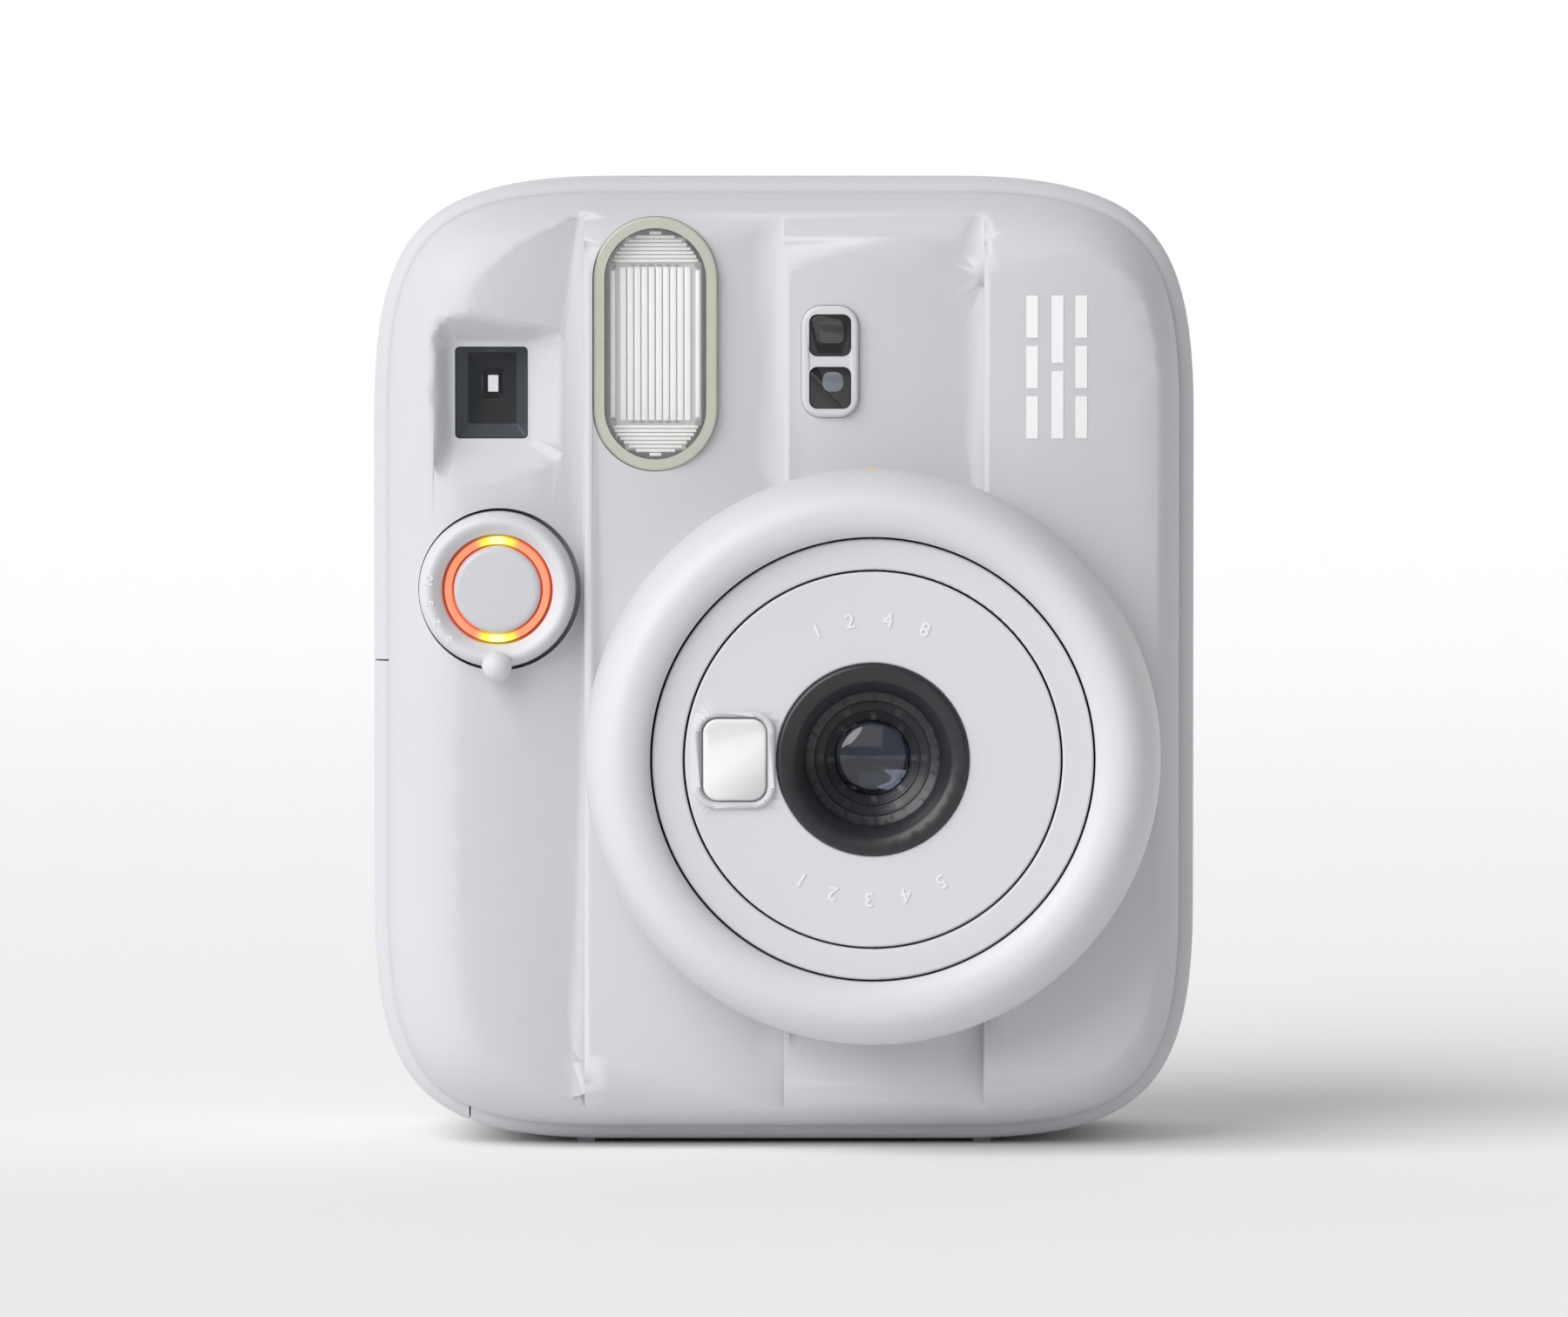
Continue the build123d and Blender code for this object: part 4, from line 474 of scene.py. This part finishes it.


# each CAD node listed here keeps its own shape, with its triangles joined and shaded smoothly, and gets its
# finish
nodeFinish = {
    "front_cover": (shellPlastic, "shell"), "rear_body": (shellPlastic, "shell"),
    "battery_cover": (shellPlastic, "shell"), "film_door": (shellPlastic, "shell"),
    "button_mount": (shellPlastic, "shell"), "sensor_frame": (shellPlastic, "shell"),
    "door_latch": (shellPlastic, "shell"), "lens_sleeve": (ringPlastic, "ring"),
    "lens_barrel": (ringPlastic, "ring"),
    "film_exit_frame": (darkTrim, "trim"), "eyepiece": (darkTrim, "trim"),
    "film_door_window": (smokedWindow, "dark_window"), "counter_window": (clearWindow, "clear"),
    "door_panel": (innerBlack, "inner_black"), "lens_mount": (innerBlack, "inner_black"),
    "light_tunnel": (innerBlack, "inner_black"), "film_chassis": (innerBlack, "inner_black"),
    "roller_frame": (bladeSteel, "blade"), "shutter_plate": (bladeSteel, "blade"),
    "left_shutter_blade": (bladeSteel, "blade"), "right_shutter_blade": (bladeSteel, "blade"),
    "rear_lens_cell": (innerBlack, "inner_black"), "finder_tunnel": (innerBlack, "inner_black"),
    "lens_glasses": (coatedGlass, "clear"), "finder_lenses": (finderGlass, "clear"),
    "pressure_springs": (springSteel, "spring_steel"), "hinge_pin": (springSteel, "spring_steel"),
    "film_pick": (springSteel, "spring_steel"), "housing_screws": (springSteel, "spring_steel"),
    "battery_contacts": (springSteel, "spring_steel"),
    "drive_roller": (rollerSteel, "roller"), "pinch_roller": (rollerSteel, "roller"),
    "roller_gear": (gearPlastic, "gear"), "upper_gear": (gearPlastic, "gear"),
    "lower_gear": (gearPlastic, "gear"), "motor_pinion": (gearPlastic, "gear"),
    "gear_plate": (innerBlack, "inner_black"), "drive_motor": (motorCan, "motor"),
    "shutter_switch": (chipBlack, "chips"), "main_board": (solderMask(), "board"),
    "board_parts": (chipBlack, "chips"), "flash_capacitor": (capacitorSleeve, "capacitor"),
    "battery_holder": (innerBlack, "inner_black"), "battery_cells": (printedCell(), "cells"),
    "counter_dial": (dialWhite, "counter"), "foot_strips": (footRubber, "feet"),
    "lens_bezel": (turnedBlack(lensCentre), "inner_black"), 
    "timer_light_ring": (glowingRing(buttonCentre), "light_ring"), "flash_gasket": (milkyGasket(), "gasket"),
    "flash_window": (clearWindow, "clear"), "flash_reflector": (brightCoat(), "reflector"),
    "flash_tube": (clearWindow, "clear"), "sensor_windows": (sensorBlack, "dark_window"),
    "latch_spring": (springSteel, "spring_steel"), "button_spring": (springSteel, "spring_steel"),
    "pick_spring": (springSteel, "spring_steel"),
}
cadCopies = {}
for name, (material, slotName) in nodeFinish.items():
    cadCopies[name] = cleanCopy(name, material)
print("clean copies made", len(cadCopies))

# lens ring, turned from its outline of (radius, depth)
ring = {
    "outer": 36.2, "skirt": 35.5, "crest": 31.2, "mouth": 27.85, "bore": 30.25, "wall": 1.9,
    "front": -33.3, "rear": -10.4, "shoulder": -24.3,
}


def lensRing():
    outer, skirt, crest, mouth = ring["outer"], ring["skirt"], ring["crest"], ring["mouth"]
    front, rear, shoulder = ring["front"], ring["rear"], ring["shoulder"]
    outline = [(skirt, rear)]
    flare = ((skirt, shoulder + 3.2), (skirt, shoulder + 2), (outer, shoulder + 1), (outer, shoulder))
    outline += bezier(*flare, 8)
    outline += bezier((outer, shoulder), (outer, front + 3.6), (crest + 2.9, front), (crest, front), 24)[1:]
    inwards = ((crest, front), (crest - 1.7, front), (mouth, front + 0.8), (mouth, front + 2.2))
    outline += bezier(*inwards, 14)[1:]
    outline += [(mouth, front + 4.6), (ring["bore"], front + 4.6), (ring["bore"], rear)]
    outline += [(ring["bore"] + 1.35, rear), (ring["bore"] + 1.35, front + 3)]
    outline += [(skirt - ring["wall"], shoulder), (skirt - ring["wall"], rear)]
    return spun(outline, lensCentre, 220)


piece = finishPiece("lens_ring_turned", lensRing(), ringPlastic, "lens_ring", 40.0)
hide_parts("lens_ring")

# small yellow mark on the ring's shoulder
mark = {"half": 1.1, "low": 35.2, "high": 36.23, "front": -27.3, "rear": -24.4}


def indexMark():
    bm = bmesh.new()
    high, low, front, rear = mark["high"], mark["low"], mark["front"], mark["rear"]
    outline = [(high, rear), (high, -25.2), (36.1, -26.2), (35.78, front), (low, front), (low, rear)]
    verts = [bm.verts.new((lensCentre.x + r * mm, y * mm, lensCentre.z)) for r, y in outline]
    face = bm.faces.new(verts)
    start = Matrix.Rotation(math.radians(-90 - mark["half"]), 3, "Y")
    bmesh.ops.rotate(bm, cent=lensCentre, matrix=start, verts=bm.verts)
    bmesh.ops.spin(
        bm, geom=[face], cent=lensCentre, axis=(0, 1, 0), dvec=(0, 0, 0),
        angle=math.radians(2 * mark["half"]), steps=4, use_merge=False,
    )
    return bm


piece = finishPiece("index_mark", indexMark(), yellowInk, "lens_ring")
print("lens ring turned")


# raised characters set round an arc, read clockwise with their tops outwards
def arcText(name, text, centre, radius, size, front, depth, middleAngle, material, body, gap=0.28):
    bm = bmesh.new()
    shapes = []
    for char in text:
        if char == " ":
            shapes.append((None, size * 0.3))
            continue
        curve = bpy.data.curves.new("letter", "FONT")
        curve.body = char
        curve.size = size * mm
        curve.extrude = depth * mm / 2
        curve.bevel_depth = 0.03 * mm
        curve.resolution_u = 3
        letter = bpy.data.objects.new("letter", curve)
        bpy.context.scene.collection.objects.link(letter)
        bpy.context.view_layer.update()
        mesh = bpy.data.meshes.new_from_object(letter.evaluated_get(bpy.context.evaluated_depsgraph_get()))
        bpy.data.objects.remove(letter)
        bpy.data.curves.remove(curve)
        across = [v.co.x for v in mesh.vertices]
        mesh.transform(Matrix.Translation((-(min(across) + max(across)) / 2, 0, 0)))
        shapes.append((mesh, (max(across) - min(across)) / mm))
    total = sum(width + gap for _, width in shapes) - gap
    at = -total / 2
    for mesh, width in shapes:
        turn = math.radians(middleAngle) + (at + width / 2) / radius
        at += width + gap
        if mesh is None:
            continue
        stand = Matrix.Rotation(math.radians(90), 4, "X")
        lift = Matrix.Translation((0, 0, radius * mm))
        swing = Matrix.Rotation(turn, 4, "Y")
        place = Matrix.Translation((centre.x, front * mm, centre.z))
        mesh.transform(place @ swing @ lift @ stand)
        bm.from_mesh(mesh)
        bpy.data.meshes.remove(mesh)
    bmesh.ops.remove_doubles(bm, verts=bm.verts, dist=1e-7)
    piece = finishPiece(name, bm, material, body, 30.0)
    return piece


# faint raised figures on the lens face
faceFigures = {"radius": 16.7, "size": 2.5, "front": -30.93, "depth": 0.1}
for name, text, angle in (
    ("face_figures_top", "1   2   4   8", 0), ("face_figures_low", "5   4   3   2   1", 180),
):
    arcText(
        name, text, lensCentre, faceFigures["radius"], faceFigures["size"], faceFigures["front"],
        faceFigures["depth"], angle, letterPlasticPaintedHighlight, "lens_barrel",
    )

# self-timer dial: a rounded ring with a ball to turn it by, and small figures on its left
dial = {
    "inner": 7.0, "outer": 9.9, "crest": 8.6, "low": -19.9, "top": -21.2, "edge": -17.9, "rear": -14.8,
    "ball": 1.9, "ballDepth": -21.9, "ballDrop": 9.5,
}


def dialRing():
    inner, outer, crest = dial["inner"], dial["outer"], dial["crest"]
    low, top, edge, rear = dial["low"], dial["top"], dial["edge"], dial["rear"]
    outline = [(inner, rear)]
    outline += bezier((inner, low), (inner + 0.5, low - 0.6), (crest - 0.6, top), (crest, top), 16)
    outline += bezier((crest, top), (crest + 0.8, top), (outer, low - 0.1), (outer, edge), 16)[1:]
    outline += [(outer, rear)]
    bm = spun(outline, buttonCentre, 128)
    ball = bmesh.new()
    bmesh.ops.create_uvsphere(ball, u_segments=40, v_segments=24, radius=dial["ball"] * mm)
    spot = (buttonCentre.x, dial["ballDepth"] * mm, buttonCentre.z - dial["ballDrop"] * mm)
    bmesh.ops.translate(ball, vec=spot, verts=ball.verts)
    joinInto(bm, ball)
    return bm


piece = finishPiece("timer_dial_turned", dialRing(), ringPlastic, "self_timer_dial", 50.0)
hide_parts("self_timer_dial")
timerFigures = {"radius": 8.15, "size": 1.35, "front": -21.15, "depth": 0.1, "angle": -108, "gap": 0.35}
arcText(
    "timer_figures", "0  2  5  10", buttonCentre, timerFigures["radius"], timerFigures["size"],
    timerFigures["front"], timerFigures["depth"], timerFigures["angle"], letterPlasticPaintedHighlight, "self_timer_dial",
    timerFigures["gap"],
)

# shutter button: slightly domed
button = {"radius": 5.5, "flat": 4.6, "bore": 4.3, "front": -20.1, "rear": -16.2, "roof": 1.8}


def buttonCap():
    radius, flat, bore, front, rear = (button[key] for key in ("radius", "flat", "bore", "front", "rear"))
    roof = front + button["roof"]
    outline = [(0.0001, front - 0.1), (2.6, front - 0.06), (flat, front)]
    edge = ((flat, front), (5.1, front + 0.02), (radius, front + 0.25), (radius, front + 0.8))
    outline += bezier(*edge, 8)[1:]
    outline += [(radius, rear), (bore, rear), (bore, roof), (0.0001, roof)]
    return spun(outline, buttonCentre, 96)


piece = finishPiece("shutter_button_cap", buttonCap(), buttonPlastic, "shutter_button", 50.0)
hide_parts("shutter_button")
print("dial and button turned")


def outlineLoop(bm, width, height, corner, depth, centre, segments=8):
    # a rounded rectangle of edges facing forwards; millimetres
    verts = []
    for k, (sx, sz) in enumerate(((1, 1), (-1, 1), (-1, -1), (1, -1))):
        for i in range(segments + 1):
            turn = math.radians(90 * k + 90 * i / segments)
            x = sx * (width / 2 - corner) + corner * math.cos(turn)
            z = sz * (height / 2 - corner) + corner * math.sin(turn)
            verts.append(bm.verts.new((centre.x + x * mm, depth * mm, centre.z + z * mm)))
    return [bm.edges.new((verts[i], verts[(i + 1) % len(verts)])) for i in range(len(verts))]


def steppedWell(levels, centre):
    # joins rounded rectangles (width, height, corner, depth, rise) one after another
    bm = bmesh.new()
    loops = [outlineLoop(bm, w, h, c, y, centre + Vector((0, 0, up * mm))) for w, h, c, y, up in levels]
    for first, second in zip(loops, loops[1:]):
        bmesh.ops.bridge_loops(bm, edges=first + second)
    return bm


def bar(bm, width, depth, height, spot, edge=0.0):
    # a box standing at spot, with rounded edges; millimetres
    scrap = bmesh.new()
    bmesh.ops.create_cube(scrap, size=1.0)
    bmesh.ops.scale(scrap, vec=(width * mm, depth * mm, height * mm), verts=scrap.verts)
    if edge:
        bmesh.ops.bevel(
            scrap, geom=list(scrap.edges), offset=edge * mm, offset_type="OFFSET", segments=2, profile=0.5,
            affect="EDGES", material=-1, clamp_overlap=True,
        )
    bmesh.ops.translate(scrap, vec=spot, verts=scrap.verts)
    joinInto(bm, scrap)


# prisms behind the flash window: upright flutes in the middle, level ribs at both ends
flash = {
    "fluted": 9.0, "middle": 10.1, "flute": 0.9, "rib": 0.5, "radius": 5.9, "half": 14.0, "front": -17.25,
    "side": 5.35, "dash": 1.1,
}
flashCentre = Vector((middle("flash_window").x, 0, middle("flash_window").z))


def flashSpot(across, back, up):
    return flashCentre + Vector((across * mm, (flash["front"] + back) * mm, up * mm))


def flashFlutes():
    bm = bmesh.new()
    count = int(flash["fluted"] / flash["flute"])
    for i in range(count):
        across = (i - (count - 1) / 2) * flash["flute"]
        bar(bm, flash["flute"] * 0.9, 0.5, 2 * flash["middle"] - 0.8, flashSpot(across, 0.3, 0), 0.2)
    return bm


def flashRibs():
    bm = bmesh.new()
    for side in (-1, 1):
        up = flash["middle"] + 0.35
        while up < flash["half"]:
            reach = flash["radius"]
            beyond = up - (flash["half"] - flash["radius"])
            if beyond > 0:
                reach = math.sqrt(max(flash["radius"] ** 2 - beyond**2, 0.0))
            if reach > 0.6:
                bar(bm, 2 * reach, 0.4, flash["rib"] * 0.84, flashSpot(0, 0.3, side * up), 0.12)
            up += flash["rib"]
    for side in (-1, 1):
        bar(bm, 0.62, 0.6, 2 * flash["middle"] - 1.6, flashSpot(side * flash["side"], 0.25, 0), 0.2)
    return bm


def flashPaintedShade():
    # painted shade: a grey sheet behind the prisms, seen between them
    bm = bmesh.new()
    bar(bm, 11.6, 0.15, 2 * flash["half"] - 7.4, flashSpot(0, 0.68, 0))
    bar(bm, 7.6, 0.14, 2 * flash["half"] - 1.2, flashSpot(0, 0.7, 0))
    return bm


def flashClips():
    # a dark clip in each corner and a row of small steps at both ends
    bm = bmesh.new()
    for side in (-1, 1):
        for end in (-1, 1):
            bar(bm, 0.75, 0.5, 0.8, flashSpot(side * flash["side"], 0.2, end * (flash["middle"] - 0.2)), 0.1)
            for i in range(6):
                across = (i - 2.5) * flash["dash"]
                bar(bm, 0.62, 0.12, 0.12, flashSpot(across, 0.02, end * (flash["middle"] - 0.25)))
    return bm


for name, maker, material, slotName in (
    ("flash_flutes", flashFlutes, pearlPrism, "clear"), ("flash_ribs", flashRibs, pearlPrism, "clear"),
    ("flash_shade", flashPaintedShade, prismPaintedShade, "clear"), ("flash_clips", flashClips, clipGrey, "trim"),
):
    piece = finishPiece(name, maker(), material, "housing", 30.0)
print("flash prisms set")

# finder: dark steps narrowing to a small sight; the outer step and the sight glow with painted light;
# (width, height, corner, depth, rise)
finder = {
    "height": 0.0957, "rise": 0.95, "plate": (1.5, 2.3, 0.1, -6.1, -5.9),
    "outer": [(9.0, 11.4, 0.6, -13.5, 0.0), (6.2, 9.1, 0.25, -12.2, 0.5), (6.0, 8.9, 0.2, -9.5, 0.5)],
    "inner": [
        (6.0, 8.9, 0.2, -9.5, 0.5), (2.7, 4.1, 0.5, -9.0, 1.0),
        (2.5, 3.9, 0.45, -6.5, 1.0), (1.3, 2.1, 0.1, -6.2, 0.95),
    ],
}
sight = Vector((middle("finder_lenses").x, 0, finder["height"]))
piece = finishPiece("finder_outer_step", steppedWell(finder["outer"], sight), slateStepPaintedGlow, "housing", 25.0)
piece = finishPiece("finder_inner_step", steppedWell(finder["inner"], sight), blackStep, "housing", 25.0)
plate = roundedPlate(*finder["plate"], sight + Vector((0, 0, finder["rise"] * mm)))
piece = finishPiece("finder_sight", plate, sightPaintedGlow, "housing")

# lenses behind the two sensor windows
sensorSpot = middle("sensor_windows")
for name, size, shift, material in (
    ("sensor_lens_upper", (3.0, 2.8, 0.7), (0.2, 3.3 + 0.4), sensorGrey),
    ("sensor_lens_lower", (2.6, 2.5, 1.0), (0.35, -3.3 + 0.75), sensorBlue),
):
    centre = sensorSpot + Vector((shift[0] * mm, 0, shift[1] * mm))
    piece = finishPiece(name, roundedPlate(*size, -19.5, -19.4, centre, 8, 0.03), material, "housing", 30.0)

# selfie mirror and the soft lip round it
mirror = {"width": 7.9, "height": 10.3, "corner": 1.9, "front": -31.3, "rear": -30.4}
mirrorSpot = middle("selfie_mirror")
plate = roundedPlate(
    mirror["width"], mirror["height"], mirror["corner"], mirror["front"], mirror["rear"],
    mirrorSpot, 10, 0.35, 4,
)
piece = finishPiece("selfie_mirror_plate", plate, mirrorFinish, "lens_barrel", 30.0)
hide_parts("selfie_mirror")
lipSteps = [(1.7, 2.6, -30.88), (1.2, 2.4, -31.06), (0.7, 2.2, -31.08), (0.25, 2.0, -30.7)]
lip = [
    (mirror["width"] + more, mirror["height"] + more, corner, depth, 0.0) for more, corner, depth in lipSteps
]
piece = finishPiece("mirror_lip", steppedWell(lip, mirrorSpot), ringPlastic, "lens_barrel", 50.0)


# plain raised bars on the right of the front, laid on its surface
badge = {"low": 89.5, "high": 108.5, "columns": (31.2, 34.4, 37.4), "width": 1.5, "rise": 0.06}


def badgeBars():
    cover = cadCopies["front_cover"]
    bm = bmesh.new()
    for column, x in enumerate(badge["columns"]):
        gaps = 3 - column % 2
        length = (badge["high"] - badge["low"]) / gaps
        for k in range(gaps):
            low = badge["low"] + k * length + 0.5
            rows = []
            for i in range(7):
                z = low + (length - 1.0) * i / 6
                row = []
                for side in (-1, 1):
                    start = Vector(((x + side * badge["width"] / 2) * mm, -0.1, z * mm))
                    spot = cover.ray_cast(start, Vector((0, 1, 0)))[1]
                    row.append(bm.verts.new(spot - Vector((0, badge["rise"] * mm, 0))))
                rows.append(row)
            for first, second in zip(rows, rows[1:]):
                bm.faces.new((first[0], first[1], second[1], second[0]))
    return bm


bpy.context.view_layer.update()
piece = finishPiece("front_bars", badgeBars(), whiteInk, "housing", 30.0)
print("finder, sensors, mirror and bars set")

# each spring's finished copy gets a mesh of its own
for name, joint, along, keep in (
    ("latch_spring", "door_latch_slide", (1, 0, 0), 0.46),
    ("button_spring", "shutter_button_press", (0, 1, 0), 0.62),
    ("pick_spring", "film_pick_slide", (0, 0, 1), 0.25),
):
    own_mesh(cadCopies[name])

# camera: a long lens, just above the middle of the front
shot = {"distance": 1.5, "lift": 2.7, "aim": (0.0, 0.0, 0.0614), "across": 0.2, "sensor": 36.0}
lift = math.radians(shot["lift"])
aim = Vector(shot["aim"])
eye = aim + shot["distance"] * Vector((0, -math.cos(lift), math.sin(lift)))
cameraData = bpy.data.cameras.new("camera")
cameraData.sensor_width = shot["sensor"]
cameraData.lens = shot["sensor"] * shot["distance"] / shot["across"]
cameraData.clip_start = 0.01
cameraData.clip_end = 20
camera = bpy.data.objects.new("camera", cameraData)
bpy.context.scene.collection.objects.link(camera)
camera.location = eye
camera.rotation_euler = (aim - eye).to_track_quat("-Z", "Y").to_euler()
bpy.context.scene.camera = camera

# pale sweep of paper behind and under the camera
studio = {
    "reach": 4.0, "back": 1.6, "bend": 0.6, "height": 2.6, "sun": 2.7, "sunSpread": 55.0, "world": 0.26,
    "card": 3.2, "cardSize": (1.6, 1.0),
}


def paperSweep():
    bm = bmesh.new()
    profile = [(-studio["reach"], 0.0)]
    for i in range(17):
        turn = math.radians(90 * i / 16)
        bend = studio["bend"]
        profile.append((studio["back"] - bend + bend * math.sin(turn), bend - bend * math.cos(turn)))
    profile.append((studio["back"], studio["height"]))
    left = [bm.verts.new((-studio["reach"], y, z)) for y, z in profile]
    right = [bm.verts.new((studio["reach"], y, z)) for y, z in profile]
    for i in range(len(profile) - 1):
        bm.faces.new((left[i], right[i], right[i + 1], left[i + 1]))
    mesh = bpy.data.meshes.new("paper_sweep")
    bm.to_mesh(mesh)
    bm.free()
    mesh.shade_smooth()
    sweep = bpy.data.objects.new("paper_sweep", mesh)
    bpy.context.scene.collection.objects.link(sweep)
    paper = Finish("paper", Roughness=0.9)
    paper.set("Base Color", paper.mix(paper.noise(3.0), rgb(0.91, 0.91, 0.91), rgb(0.93, 0.93, 0.93)))
    mesh.materials.append(paper.material)


paperSweep()


def lamp(kind, name, spot, power, target=(0, 0, 0.06), size=None, spread=None):
    data = bpy.data.lights.new(name, kind)
    data.energy = power
    if size:
        data.shape = "RECTANGLE"
        data.size, data.size_y = size
    if spread:
        data.angle = math.radians(spread)
    light = bpy.data.objects.new(name, data)
    bpy.context.scene.collection.objects.link(light)
    light.location = spot
    light.rotation_euler = (Vector(target) - Vector(spot)).to_track_quat("-Z", "Y").to_euler()


lamp("SUN", "key", (-0.9, -0.85, 0.9), studio["sun"], spread=studio["sunSpread"])
lamp("AREA", "card", (-0.3, -2.0, 0.9), studio["card"], size=studio["cardSize"])
world = bpy.data.worlds.new("studio")
bpy.context.scene.world = world
world.use_nodes = True
world.node_tree.nodes["Background"].inputs["Color"].default_value = (1, 1, 1, 1)
world.node_tree.nodes["Background"].inputs["Strength"].default_value = studio["world"]
bpy.context.scene.view_settings.view_transform = "Standard"
print("stage set")
